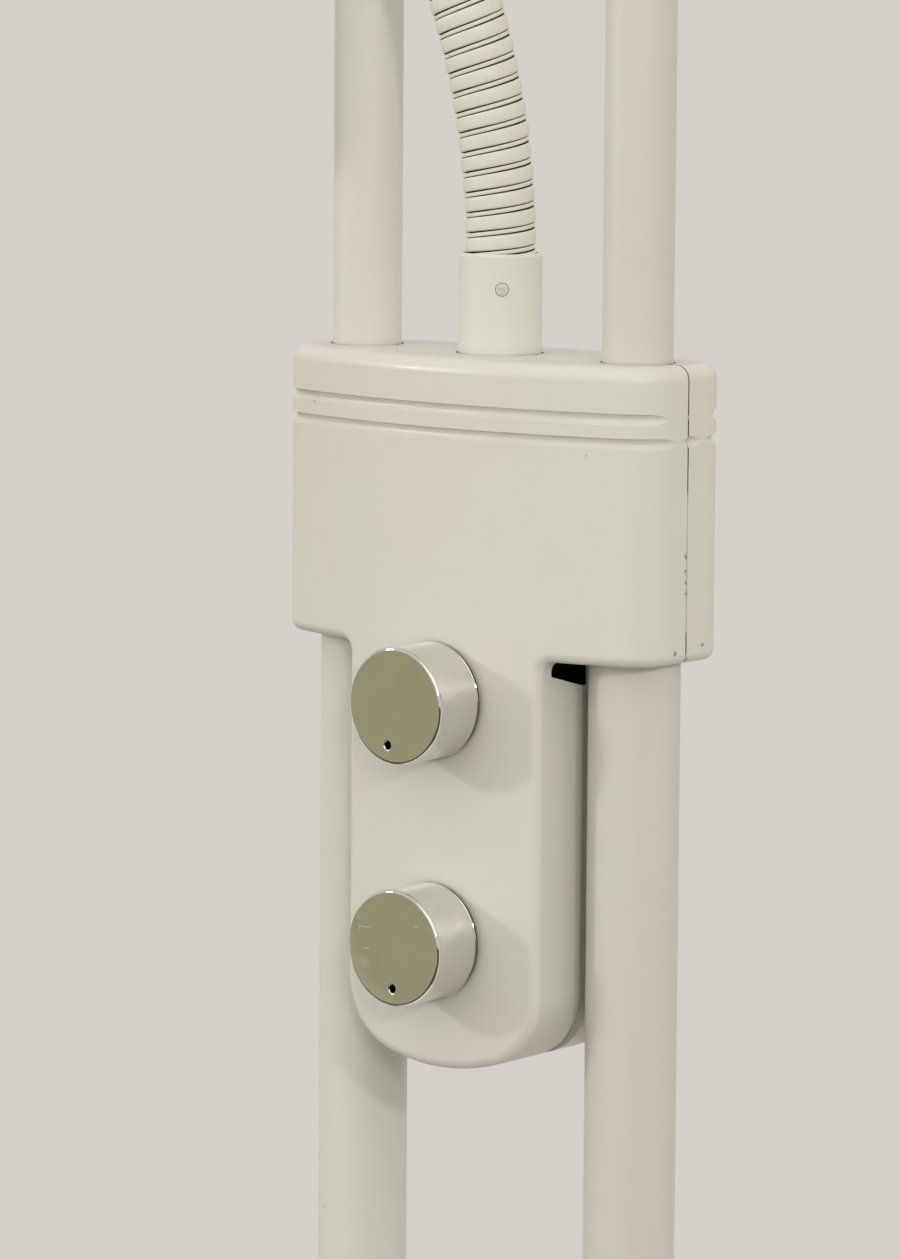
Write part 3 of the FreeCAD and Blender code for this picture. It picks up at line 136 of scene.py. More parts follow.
class NodeKit:
    """A node tree, with short calls that add and join its nodes."""

    def __init__(self, tree: bpy.types.NodeTree) -> None:
        """Empties a tree.

        Args:
            tree: the tree to fill.
        """
        self.tree = tree
        self.tree.nodes.clear()

    def add(self, kind: str, inputs: dict[int | str, object] | None = None,
            **settings: object) -> bpy.types.Node:
        """Adds a node.

        Args:
            kind: the node's type name.
            inputs: sockets or plain values by the input's name or number.
            settings: properties to set on it.

        Returns:
            The new node.
        """
        node = self.tree.nodes.new(kind)
        for key, value in settings.items():
            setattr(node, key, value)
        for key, value in (inputs or {}).items():
            self.join(value, node.inputs[key])
        return node

    def join(self, source: object, target: Socket) -> None:
        """Links a socket to an input, or sets the input to a plain value.

        Args:
            source: a socket, a number or a colour.
            target: the input.
        """
        if isinstance(source, Socket):
            self.tree.links.new(source, target)
        elif isinstance(source, tuple) and len(source) == 3 and target.type == "RGBA":
            target.default_value = (*source, 1.0)
        else:
            target.default_value = source

    def sums(self, operation: str, first: object, second: object = 0.0) -> Socket:
        """Returns the result of a sum on one or two numbers."""
        return self.add("ShaderNodeMath", {0: first, 1: second}, operation=operation).outputs[0]

    def vectors(self, operation: str, first: object, second: object = (0.0, 0.0, 0.0)) -> Socket:
        """Returns the vector that a sum on one or two vectors gives."""
        return self.add("ShaderNodeVectorMath", {0: first, 1: second}, operation=operation).outputs["Vector"]

    def measure(self, operation: str, first: object, second: object = (0.0, 0.0, 0.0)) -> Socket:
        """Returns the number that a sum on one or two vectors gives."""
        return self.add("ShaderNodeVectorMath", {0: first, 1: second}, operation=operation).outputs["Value"]


class NodeGraph(NodeKit):
    """A material's nodes: one principled shader and the patterns that feed it."""

    def __init__(self, name: str) -> None:
        """Starts a material with one principled shader.

        Args:
            name: the material's name.
        """
        self.material = bpy.data.materials.new(name)
        self.material.use_nodes = True
        super().__init__(self.material.node_tree)
        self.output = self.add("ShaderNodeOutputMaterial")
        self.shader = self.add("ShaderNodeBsdfPrincipled")
        self.join(self.shader.outputs["BSDF"], self.output.inputs["Surface"])
        coordinates = self.add("ShaderNodeTexCoord")
        self.place = coordinates.outputs["Object"]
        self.facing = coordinates.outputs["Normal"]

    def give(self, **values: object) -> None:
        """Sets or links inputs of the shader; an underscore in a name stands for a space."""
        for key, value in values.items():
            self.join(value, self.shader.inputs[key.replace("_", " ")])

    def noise(self, scale: float, detail: float = 3.0, rough: float = 0.5,
              stretch: Point = (1.0, 1.0, 1.0)) -> Socket:
        """Adds a noise pattern on the piece's own coordinates.

        Args:
            scale: how many features there are to a metre.
            detail: how many finer layers it has.
            rough: how strong the finer layers are.
            stretch: the scale along each axis.

        Returns:
            The pattern's socket.
        """
        where = self.place
        if stretch != (1.0, 1.0, 1.0):
            where = self.add("ShaderNodeMapping", {"Vector": where, "Scale": stretch}).outputs[0]
        node = self.add("ShaderNodeTexNoise", {
            "Vector": where, "Scale": scale, "Detail": detail, "Roughness": rough})
        return node.outputs["Fac"]

    def span(self, value: Socket, low: float, high: float, to_low: float = 0.0,
             to_high: float = 1.0) -> Socket:
        """Maps a range of a value smoothly on another.

        Args:
            value: the value's socket.
            low: where the range begins.
            high: where it ends.
            to_low: the result at its beginning.
            to_high: the result at its end.

        Returns:
            The mapped value's socket.
        """
        inputs = dict(enumerate((value, low, high, to_low, to_high)))
        return self.add("ShaderNodeMapRange", inputs, interpolation_type="SMOOTHSTEP").outputs[0]

    def band(self, value: Socket, low: float, high: float, soft: float) -> Socket:
        """Finds where a value lies between two limits.

        Args:
            value: the value's socket.
            low: the lower limit.
            high: the upper limit.
            soft: how wide the change at each limit is.

        Returns:
            The socket of a mask, 1 between the limits.
        """
        return self.sums("MULTIPLY", self.span(value, low - soft, low + soft),
                         self.span(value, high - soft, high + soft, 1.0, 0.0))

    def blend(self, amount: object, first: object, second: object) -> Socket:
        """Mixes two colours.

        Args:
            amount: how much of the second shows.
            first: a colour or socket.
            second: a colour or socket.

        Returns:
            The mixed colour's socket.
        """
        return self.add("ShaderNodeMix", {0: amount, 6: first, 7: second}, data_type="RGBA").outputs[2]

    def relief(self, height: Socket, depth: float, under: Socket | None = None) -> Socket:
        """Adds a bump of a depth in metres.

        Args:
            height: the pattern that gives the height.
            depth: the height of the pattern at 1.
            under: another bump that this one lies on.

        Returns:
            The normal's socket.
        """
        node = self.add("ShaderNodeBump", {"Height": height, "Distance": depth})
        if under is not None:
            self.join(under, node.inputs["Normal"])
        return node.outputs[0]

    def axes(self) -> list[Socket]:
        """Returns the sockets of the piece's own x, y and z."""
        return list(self.add("ShaderNodeSeparateXYZ", {0: self.place}).outputs)

    def reach(self, first: object, second: object) -> Socket:
        """Returns the distance straight across, from the distances along two axes."""
        squares = [self.sums("MULTIPLY", part, part) for part in (first, second)]
        return self.sums("SQRT", self.sums("ADD", *squares))


@dataclass(frozen=True)
class Enamel:
    """Satin stove enamel: two near tones in drifts, specks of dust, and a fine orange peel."""

    name: str
    tone: Colour
    drift: Colour
    speck: Colour = shade(120, 112, 92)
    roughness: float = 0.42
    peel: float = 0.00002
    drift_scale: float = 14.0
    patch_scale: float = 70.0
    patch_share: float = 0.45
    speck_scale: float = 42.0
    speck_size: Span = (0.008, 0.024)
    speck_from: float = 0.62
    speck_share: float = 0.55
    gloss_scale: float = 190.0
    wave_scale: float = 60.0
    peel_scale: float = 900.0

    def colour(self, graph: NodeGraph) -> Socket:
        """Mixes the two tones and lays the specks on them.

        Args:
            graph: the material that it is for.

        Returns:
            The colour's socket.
        """
        broad = graph.span(graph.noise(self.drift_scale, 2.0), 0.36, 0.64)
        patch = graph.span(graph.noise(self.patch_scale, 3.0), 0.3, 0.7, 0.0, self.patch_share)
        mixed = graph.blend(graph.sums("MAXIMUM", broad, patch), self.tone, self.drift)
        cells = graph.add("ShaderNodeTexVoronoi", {"Vector": graph.place, "Scale": self.speck_scale},
                          voronoi_dimensions="3D")
        near = graph.span(cells.outputs["Distance"], *self.speck_size, 1.0, 0.0)
        chance = graph.add("ShaderNodeSeparateColor", {0: cells.outputs["Color"]})
        some = graph.sums("GREATER_THAN", chance.outputs[0], self.speck_from)
        specks = graph.sums("MULTIPLY", near, graph.sums("MULTIPLY", some, self.speck_share))
        return graph.blend(specks, mixed, self.speck)

    def surface(self, graph: NodeGraph) -> None:
        """Gives the satin gloss and the orange peel.

        Args:
            graph: the material that it is for.
        """
        film = graph.noise(self.gloss_scale, 2.0)
        gloss = graph.span(film, 0.3, 0.7, self.roughness - 0.05, self.roughness + 0.06)
        waves = graph.relief(graph.noise(self.wave_scale, 1.0), self.peel * 6)
        peel = graph.relief(graph.noise(self.peel_scale, 2.0), self.peel, waves)
        graph.give(Roughness=gloss, Normal=peel, IOR=1.5, Specular_IOR_Level=0.5)

    def build(self) -> bpy.types.Material:
        """Makes the material.

        Returns:
            The finished material.
        """
        graph = NodeGraph(self.name)
        graph.give(Base_Color=self.colour(graph))
        self.surface(graph)
        return graph.material


@dataclass(frozen=True)
class CasingEnamel(Enamel):
    """The enamel of the control casing: painted shade on its inner walls and round its seats on top, grime
    and painted shade in its parting line, and chipped along that line.
    """

    inside_shade: Colour = shade(24, 23, 21)
    chip: Colour = shade(92, 84, 68)
    grime_and_gap_shade: Colour = shade(72, 68, 58)
    inward: float = -0.0004
    side: float = 0.0557
    top: float = 1.0846
    line: float = 0.00026
    line_wander: float = 0.0003
    line_fades: Span = (1.0485, 1.0525)
    line_faint: float = 0.22
    line_foot: Span = (1.0072, 1.0136)
    chipped: Span = (1.0232, 1.0345)
    chip_spread: Span = (-0.0011, 0.0002)
    chip_ragged: float = 0.004
    seats: tuple[Span, ...] = ((-0.0475, 0.01025), (0.0, 0.0121), (0.0475, 0.01025))
    spots: tuple[Point, ...] = (
        (-0.0048, 1.0079, 0.0008), (0.0074, 1.0094, 0.0006), (0.0008, 1.0058, 0.0006))

    def inside(self, graph: NodeGraph) -> Socket:
        """Finds the walls that face the casing's own axis, or a hole's; they take painted shade.

        Args:
            graph: the material that it is for.

        Returns:
            The socket of a mask, 1 inside the casing.
        """
        flat = graph.vectors("MULTIPLY", graph.place, (1.0, 1.0, 0.0))
        outward = graph.measure("DOT_PRODUCT", flat, graph.facing)
        return graph.sums("LESS_THAN", outward, self.inward)

    def parting(self, graph: NodeGraph) -> Socket:
        """Lays grime and painted shade in the parting line: dark above, faint below, and dark again at the
        foot.

        Args:
            graph: the material that it is for.

        Returns:
            The socket of a mask, 1 where the line is darkest.
        """
        x, y, z = graph.axes()
        stray = graph.sums("SUBTRACT", graph.noise(160.0, 3.0), 0.5)
        wander = graph.sums("MULTIPLY", stray, self.line_wander)
        off = graph.sums("ADD", graph.sums("ABSOLUTE", y), wander)
        close = graph.span(off, self.line * 0.8, self.line * 1.3, 1.0, 0.0)
        upper = graph.span(z, *self.line_fades, self.line_faint, 1.0)
        foot = graph.sums("MULTIPLY", graph.band(z, *self.line_foot, 0.0006), 0.9)
        side = graph.sums("GREATER_THAN", graph.sums("ABSOLUTE", x), self.side)
        dark = graph.sums("MAXIMUM", upper, foot)
        return graph.sums("MULTIPLY", graph.sums("MULTIPLY", close, side), dark)

    def chips(self, graph: NodeGraph) -> Socket:
        """Scatters paint chips beside the parting line and at the casing's lower corner.

        Args:
            graph: the material that it is for.

        Returns:
            The socket of a mask, 1 where the paint is off.
        """
        x, y, z = graph.axes()
        stray = graph.sums("SUBTRACT", graph.noise(420.0, 4.0, 0.7), 0.5)
        ragged = graph.sums("MULTIPLY", stray, self.chip_ragged)
        near = graph.band(graph.sums("ADD", y, ragged), *self.chip_spread, 0.0002)
        along = graph.sums("MULTIPLY", near, graph.band(z, *self.chipped, 0.0015))
        broken = graph.span(graph.noise(330.0, 3.0, 0.6), 0.5, 0.56)
        worn = graph.sums("MULTIPLY", along, broken)
        for across, level, size in self.spots:
            away = graph.reach(graph.sums("SUBTRACT", y, across), graph.sums("SUBTRACT", z, level))
            spot = graph.span(graph.sums("ADD", away, ragged), size * 0.4, size * 0.8, 1.0, 0.0)
            worn = graph.sums("MAXIMUM", worn, spot)
        side = graph.sums("GREATER_THAN", x, self.side)
        return graph.sums("MULTIPLY", worn, graph.sums("MULTIPLY", side, 0.75))

    def rings(self, graph: NodeGraph) -> Socket:
        """Finds the rings of painted shade on the top, where the tubes and the sleeve go in.

        Args:
            graph: the material that it is for.

        Returns:
            The socket of a mask, 1 on the rings.
        """
        x, y, z = graph.axes()
        ring: object = 0.0
        for across, radius in self.seats:
            away = graph.reach(graph.sums("SUBTRACT", x, across), y)
            seat = graph.span(away, radius - 0.0001, radius + 0.0002, 1.0, 0.0)
            ring = graph.sums("MAXIMUM", ring, seat)
        return graph.sums("MULTIPLY", ring, graph.sums("GREATER_THAN", z, self.top))

    def build(self) -> bpy.types.Material:
        """Makes the material.

        Returns:
            The finished material.
        """
        graph = NodeGraph(self.name)
        painted = graph.blend(self.chips(graph), self.colour(graph), self.chip)
        # Grime and painted shade in the parting line, and painted shade in rings round the seats on top.
        dark = graph.sums("MAXIMUM", self.parting(graph), self.rings(graph))
        grimed_and_shaded = graph.blend(dark, painted, self.grime_and_gap_shade)
        # Painted shade: the inner walls and the holes' walls take the near-black inside tone.
        graph.give(Base_Color=graph.blend(self.inside(graph), grimed_and_shaded, self.inside_shade))
        self.surface(graph)
        return graph.material


@dataclass(frozen=True)
class Polished:
    """Polished plating with scratches, a handled bloom, a hazy edge, a painted shade line at the foot and a
    drilled mark painted black inside as shade.
    """

    name: str
    tone: Colour
    pit_at: Point
    bloom_at: Point
    foot: float
    worn: float
    hazy_from: Point
    scratches: tuple[Scratch, ...]
    roughness: float = 0.035
    pit_radius: float = 0.00122
    pit_lip: float = 0.00022
    pit_shade: Colour = (0.012, 0.011, 0.009)
    foot_shade_band: Span = (0.0009, 0.0006)
    foot_shade: Colour = (0.06, 0.054, 0.04)
    bloom_size: Span = (0.0035, 0.0062)
    haze_reach: Span = (0.0185, 0.0255)
    ragged: float = 0.006
    streak_share: float = 0.6
    mark_share: float = 0.25
    mark_roughness: float = 0.25
    tarnish: float = 0.93
    face_depth: float = 0.0004
    scratch_width: float = 0.00012
    scratch_share: float = 0.62
    relief: float = 0.0000015

    def build(self) -> bpy.types.Material:
        """Makes the material.

        Returns:
            The finished material.
        """
        graph = NodeGraph(self.name)
        hair = graph.noise(900.0, 4.0, 0.7, (1.0, 1.0, 0.06))
        cross = graph.noise(900.0, 4.0, 0.7, (0.05, 1.0, 1.0))
        lines = graph.sums("MAXIMUM", graph.span(hair, 0.66, 0.72), graph.span(cross, 0.67, 0.73))
        ragged = graph.sums("MULTIPLY", graph.noise(500.0, 4.0), self.ragged)
        from_bloom = graph.sums("ADD", graph.measure("DISTANCE", graph.place, self.bloom_at), ragged)
        touched = graph.span(from_bloom, *self.bloom_size, 1.0, 0.0)
        from_haze = graph.sums("ADD", graph.measure("DISTANCE", graph.place, self.hazy_from), ragged)
        edge = graph.span(from_haze, *self.haze_reach)
        face = graph.sums("LESS_THAN", graph.axes()[1], self.pit_at[1] + self.face_depth)
        dulled = graph.sums("MAXIMUM", touched, graph.sums("MULTIPLY", edge, face))
        streaks = graph.sums("ADD", graph.sums("MULTIPLY", lines, self.streak_share), self.mark_share)
        marks = graph.sums("MULTIPLY", dulled, streaks)
        for scratch in self.scratches:
            marks = graph.sums("MAXIMUM", marks, self.scratch(graph, scratch))
        film = graph.span(graph.noise(140.0, 3.0), 0.35, 0.75, 0.0, 0.03)
        clean = graph.sums("ADD", film, self.roughness)
        gloss = graph.sums("ADD", graph.sums("MULTIPLY", marks, self.mark_roughness), clean)
        cloud = graph.span(graph.noise(90.0, 3.0), 0.4, 0.8)
        plated = graph.blend(cloud, self.tone, dimmed(self.tone, self.tarnish))
        # Painted shade: a dark line round the knob's foot, where it meets the casing.
        line = [self.foot - drop for drop in self.foot_shade_band]
        plated = graph.blend(graph.span(graph.axes()[1], *line), plated, self.foot_shade)
        # Painted shade: the drilled mark is black inside.
        graph.give(Base_Color=graph.blend(self.pit(graph), plated, self.pit_shade))
        graph.give(Roughness=gloss, Metallic=graph.span(marks, 0.0, 1.0, 1.0, 1.0 - self.worn))
        uneven = graph.sums("ADD", lines, graph.noise(60.0, 1.0))
        graph.give(Normal=graph.relief(uneven, self.relief))
        return graph.material

    def scratch(self, graph: NodeGraph, ends: Scratch) -> Socket:
        """Draws one scratch across the face.

        Args:
            graph: the material that it is for.
            ends: the x and z of one end and of the other.

        Returns:
            The socket of a mask, 1 on the scratch.
        """
        x, _, z = graph.axes()
        from_x = graph.sums("SUBTRACT", x, ends[0])
        from_z = graph.sums("SUBTRACT", z, ends[1])
        length = math.hypot(ends[2] - ends[0], ends[3] - ends[1])
        way = ((ends[2] - ends[0]) / length, (ends[3] - ends[1]) / length)
        along = graph.sums("ADD", graph.sums("MULTIPLY", from_x, way[0]),
                           graph.sums("MULTIPLY", from_z, way[1]))
        aside = graph.sums("SUBTRACT", graph.sums("MULTIPLY", from_z, way[0]),
                           graph.sums("MULTIPLY", from_x, way[1]))
        thin = graph.span(graph.sums("ABSOLUTE", aside), self.scratch_width * 0.5,
                          self.scratch_width * 1.5, self.scratch_share, 0.0)
        return graph.sums("MULTIPLY", thin, graph.band(along, 0.0, length, length * 0.25))

    def pit(self, graph: NodeGraph) -> Socket:
        """Finds the drilled pointer mark, which is painted black below its lip as shade in the hole.

        Args:
            graph: the material that it is for.

        Returns:
            The socket of a mask, 1 in the mark.
        """
        x, y, z = graph.axes()
        off_x = graph.sums("SUBTRACT", x, self.pit_at[0])
        off_z = graph.sums("SUBTRACT", z, self.pit_at[2])
        close = graph.sums("LESS_THAN", graph.reach(off_x, off_z), self.pit_radius)
        return graph.sums("MULTIPLY", close, graph.sums("GREATER_THAN", y, self.pit_at[1] + self.pit_lip))


@dataclass(frozen=True)
class BareMetal:
    """Plain metal with rolled or brushed lines and a slight patina."""

    name: str
    tone: Colour
    stain: Colour
    roughness: float = 0.32
    grain: Point = (1.0, 1.0, 0.08)
    grain_scale: float = 700.0
    depth: float = 0.000015

    def build(self) -> bpy.types.Material:
        """Makes the material.

        Returns:
            The finished material.
        """
        graph = NodeGraph(self.name)
        lines = graph.noise(self.grain_scale, 4.0, 0.6, self.grain)
        cloud = graph.span(graph.noise(80.0, 4.0), 0.35, 0.75)
        gloss = graph.span(lines, 0.3, 0.7, self.roughness - 0.08, self.roughness + 0.1)
        graph.give(Base_Color=graph.blend(cloud, self.tone, self.stain), Metallic=1.0)
        graph.give(Roughness=gloss, Normal=graph.relief(lines, self.depth))
        return graph.material


@dataclass(frozen=True)
class Moulded:
    """Moulded plastic, rubber, felt, laminate or ceramic, by its tones, gloss and grain."""

    name: str
    tone: Colour
    drift: Colour
    roughness: float = 0.5
    grain: float = 1500.0
    depth: float = 0.00002
    sheen: float = 0.0

    def build(self) -> bpy.types.Material:
        """Makes the material.

        Returns:
            The finished material.
        """
        graph = NodeGraph(self.name)
        cloud = graph.span(graph.noise(120.0, 4.0), 0.3, 0.7)
        fine = graph.noise(self.grain, 4.0, 0.65)
        gloss = graph.span(fine, 0.3, 0.7, self.roughness - 0.06, self.roughness + 0.08)
        graph.give(Base_Color=graph.blend(cloud, self.tone, self.drift), Roughness=gloss)
        graph.give(Normal=graph.relief(fine, self.depth), Sheen_Weight=self.sheen)
        return graph.material


@dataclass(frozen=True)
class LampGlass:
    """Lamp glass, clear or etched to opal."""

    name: str
    tone: Colour
    roughness: float
    clear: float
    ripple: float = 0.00002

    def build(self) -> bpy.types.Material:
        """Makes the material.

        Returns:
            The finished material.
        """
        graph = NodeGraph(self.name)
        film = graph.span(graph.noise(200.0, 3.0), 0.35, 0.7)
        tone = graph.blend(film, self.tone, dimmed(self.tone, 0.95))
        gloss = graph.span(graph.noise(600.0, 2.0), 0.3, 0.7, self.roughness, self.roughness + 0.06)
        uneven = graph.relief(graph.noise(90.0, 1.0), self.ripple)
        graph.give(Base_Color=tone, Roughness=gloss, Normal=uneven)
        graph.give(IOR=1.46, Transmission_Weight=self.clear)
        return graph.material


class Palette:
    """All the finishes of the lamp, each made once."""

    def __init__(self) -> None:
        """Makes the materials."""
        cream = shade(211, 209, 198)
        warm = shade(210, 203, 192)
        green = shade(207, 207, 194)
        # The tubes share one paint: the left tubes get a lighter copy as painted light, the right tubes a
        # darker, warmer copy as painted shade.
        self.left_tube_lit = Enamel("left_tube_enamel", shade(208, 207, 196), shade(210, 205, 195)).build()
        self.right_tube_shaded = Enamel("right_tube_enamel", shade(202, 199, 187), shade(204, 198, 187)).build()
        self.casing = CasingEnamel("casing_enamel", green, warm, roughness=0.35, peel=0.000025).build()
        self.hose = Enamel("hose_enamel", shade(218, 216, 204), shade(213, 210, 195), roughness=0.46).build()
        # Near-black finish for the hose's slits: painted shade between the turns.
        self.seam = Moulded("hose_seam", (0.03, 0.027, 0.021), (0.022, 0.02, 0.016), 0.8).build()
        self.fitting = Enamel("fitting_enamel", shade(214, 213, 201), cream).build()
        self.screw_paint = Enamel("screw_enamel", shade(205, 202, 188), shade(196, 191, 175)).build()
        self.zinc = BareMetal("zinc_steel", (0.60, 0.61, 0.62), (0.47, 0.48, 0.49)).build()
        self.brass = BareMetal("brass_fitting", (0.70, 0.56, 0.28), (0.55, 0.42, 0.2)).build()
        self.aluminium = BareMetal("bare_aluminium", (0.80, 0.80, 0.80), (0.70, 0.70, 0.70), 0.22,
                                   (0.05, 1.0, 1.0)).build()
        self.wire = BareMetal("filament_wire", (0.42, 0.41, 0.40), (0.34, 0.33, 0.32), 0.4).build()
        self.iron = Moulded("cast_iron", (0.08, 0.08, 0.08), (0.05, 0.05, 0.052), 0.62, 400.0, 0.0003).build()
        self.felt = Moulded("felt_pad", (0.05, 0.05, 0.05), (0.035, 0.035, 0.035), 0.9, 2200.0, 0.0004,
                            0.3).build()
        self.rubber = Moulded("black_rubber", (0.03, 0.03, 0.03), (0.022, 0.022, 0.022), 0.6).build()
        self.nylon = Moulded("nylon", (0.75, 0.74, 0.70), (0.69, 0.68, 0.62), 0.42).build()
        self.plastic = Moulded("black_plastic", (0.03, 0.03, 0.03), (0.04, 0.04, 0.038), 0.45).build()
        self.laminate = Moulded("board_laminate", (0.28, 0.17, 0.06), (0.22, 0.13, 0.045), 0.4).build()
        # The capacitors are a real part; their near-black tone is painted shade seen through the casing's
        # side window.
        self.capacitor_shaded = Moulded("capacitor_plastic", (0.018, 0.015, 0.012), (0.013, 0.011, 0.009),
                                 0.5).build()
        self.ceramic = Moulded("glazed_ceramic", (0.80, 0.78, 0.72), (0.74, 0.71, 0.64), 0.22, 500.0).build()
        self.opal = LampGlass("opal_glass", (0.95, 0.95, 0.92), 0.3, 0.35).build()
        self.quartz = LampGlass("quartz_glass", (0.93, 0.95, 0.96), 0.02, 1.0).build()


def dress(finish: bpy.types.Material, *nodes: str) -> None:
    """Gives CAD nodes a finish.

    Args:
        finish: the material.
        nodes: the nodes' names.
    """
    for node in nodes:
        for slot in frame["nodes"][node].material_slots:
            slot.material = finish
        LOG.info("%s has %s", node, finish.name)


def add_object(name: str, data: bpy.types.ID | None) -> bpy.types.Object:
    """Puts a new object in the scene.

    Args:
        name: its name.
        data: its mesh, curve, light or camera.

    Returns:
        The object.
    """
    made = bpy.data.objects.new(name, data)
    bpy.context.scene.collection.objects.link(made)
    return made


def mesh_from(name: str, points: list[Point], faces: list[tuple[int, ...]]) -> bpy.types.Mesh:
    """Makes a mesh whose faces point outwards.

    Args:
        name: the mesh's name.
        points: its corners.
        faces: the corners of each face.

    Returns:
        The mesh.
    """
    mesh = bpy.data.meshes.new(name)
    mesh.from_pydata(points, [], faces)
    work = bmesh.new()
    work.from_mesh(mesh)
    bmesh.ops.recalc_face_normals(work, faces=work.faces)
    work.to_mesh(mesh)
    work.free()
    return mesh


def quarter_turn(steps: int = 8) -> list[float]:
    """Returns even angles from nothing to a right angle."""
    return [math.pi / 2 * step / steps for step in range(steps + 1)]


def turned_mesh(name: str, profile: list[Span], steps: int = 40) -> bpy.types.Mesh:
    """Spins a profile about the Z axis into a closed mesh.

    Args:
        name: the mesh's name.
        profile: radius and height of each corner, from pole to pole.
        steps: how many sides a turn has.

    Returns:
        The mesh.
    """
    points: list[Point] = [(0.0, 0.0, profile[0][1]), (0.0, 0.0, profile[-1][1])]
    faces: list[tuple[int, ...]] = []
    rings = profile[1:-1]
    for radius, height in rings:
        for step in range(steps):
            angle = math.tau * step / steps
            points.append((radius * math.cos(angle), radius * math.sin(angle), height))
    last = 2 + (len(rings) - 1) * steps
    for step in range(steps):
        after = (step + 1) % steps
        faces.append((0, 2 + step, 2 + after))
        faces.append((1, last + after, last + step))
        for row in range(len(rings) - 1):
            low = 2 + row * steps
            faces.append((low + step, low + steps + step, low + steps + after, low + after))
    return mesh_from(name, points, faces)


def block_mesh(name: str, half: Point, middle: Point) -> bpy.types.Mesh:
    """Makes a block, the tool that cuts slots.

    Args:
        name: the mesh's name.
        half: half its size along each axis.
        middle: its centre.

    Returns:
        The mesh.
    """
    signs = [(x, y, z) for x in (-1, 1) for y in (-1, 1) for z in (-1, 1)]
    points = [tuple(middle[i] + half[i] * sign[i] for i in range(3)) for sign in signs]
    faces = [(0, 1, 3, 2), (4, 5, 7, 6), (0, 1, 5, 4), (2, 3, 7, 6), (0, 2, 6, 4), (1, 3, 7, 5)]
    return mesh_from(name, points, faces)


def plain_mesh(piece: bpy.types.Object, name: str) -> bpy.types.Mesh:
    """Turns a piece and its modifiers into a plain mesh, and takes the modifiers off.

    Args:
        piece: the piece.
        name: the new mesh's name.

    Returns:
        The mesh.
    """
    bpy.context.view_layer.update()
    graph = bpy.context.evaluated_depsgraph_get()
    mesh = bpy.data.meshes.new_from_object(piece.evaluated_get(graph), depsgraph=graph)
    mesh.name = name
    piece.modifiers.clear()
    return mesh


def carved(name: str, body: bpy.types.Mesh, tools: list[bpy.types.Mesh]) -> bpy.types.Mesh:
    """Cuts tools out of a mesh and softens its shading.

    Args:
        name: the result's name.
        body: the mesh to cut.
        tools: what is cut away.

    Returns:
        The cut mesh.
    """
    piece = add_object(name + "_body", body)
    cutters = [add_object("%s_tool_%d" % (name, n), tool) for n, tool in enumerate(tools)]
    for cutter in cutters:
        step = piece.modifiers.new(cutter.name, "BOOLEAN")
        step.operation = "DIFFERENCE"
        step.solver = "EXACT"
        step.object = cutter
    mesh = plain_mesh(piece, name)
    for item in [piece, *cutters]:
        bpy.data.objects.remove(item)
    mesh.shade_smooth()
    mesh.set_sharp_from_angle(angle=CARVED_CREASE)
    return mesh


class GeometryTree(NodeKit):
    """A Geometry Nodes tree built in the script, with named inputs."""

    def __init__(self, name: str) -> None:
        """Starts a tree with one geometry input and output.

        Args:
            name: the tree's name.
        """
        super().__init__(bpy.data.node_groups.new(name, "GeometryNodeTree"))
        self.identifiers: dict[str, str] = {}
        self.ask("Geometry", "NodeSocketGeometry")
        self.tree.interface.new_socket("Geometry", in_out="OUTPUT", socket_type="NodeSocketGeometry")
        self.source = self.add("NodeGroupInput")
        self.sink = self.add("NodeGroupOutput")

    def ask(self, name: str, kind: str) -> None:
        """Adds a named input of a kind of socket."""
        made = self.tree.interface.new_socket(name, in_out="INPUT", socket_type=kind)
        self.identifiers[name] = made.identifier

    def scaled(self, first: Socket, amount: Socket) -> Socket:
        """Returns a vector times a number."""
        node = self.add("ShaderNodeVectorMath", {0: first, "Scale": amount}, operation="SCALE")
        return node.outputs[0]

    def close(self, geometry: Socket, finished: bool = False) -> None:
        """Ends the tree in real geometry with its finish.

        Args:
            geometry: the socket of what the tree made.
            finished: whether it has its finishes already.
        """
        last = self.add("GeometryNodeRealizeInstances", {0: geometry})
        if not finished:
            last = self.add("GeometryNodeSetMaterial", {
                "Geometry": last.outputs[0], "Material": self.source.outputs["Finish"]})
        self.join(last.outputs[0], self.sink.inputs[0])

    def grow(self, name: str, seed: bpy.types.Mesh, values: dict[str, object]) -> bpy.types.Object:
        """Runs the tree on a mesh and keeps the result as a plain mesh.

        Args:
            name: the piece's name.
            seed: the mesh that the tree starts from.
            values: the named inputs' values.

        Returns:
            The finished piece, at the origin.
        """
        start = add_object(name + "_seed", seed)
        step = start.modifiers.new(name, "NODES")
        step.node_group = self.tree
        for key, value in values.items():
            step[self.identifiers[key]] = value
        piece = add_object(name, plain_mesh(start, name))
        bpy.data.objects.remove(start)
        return piece


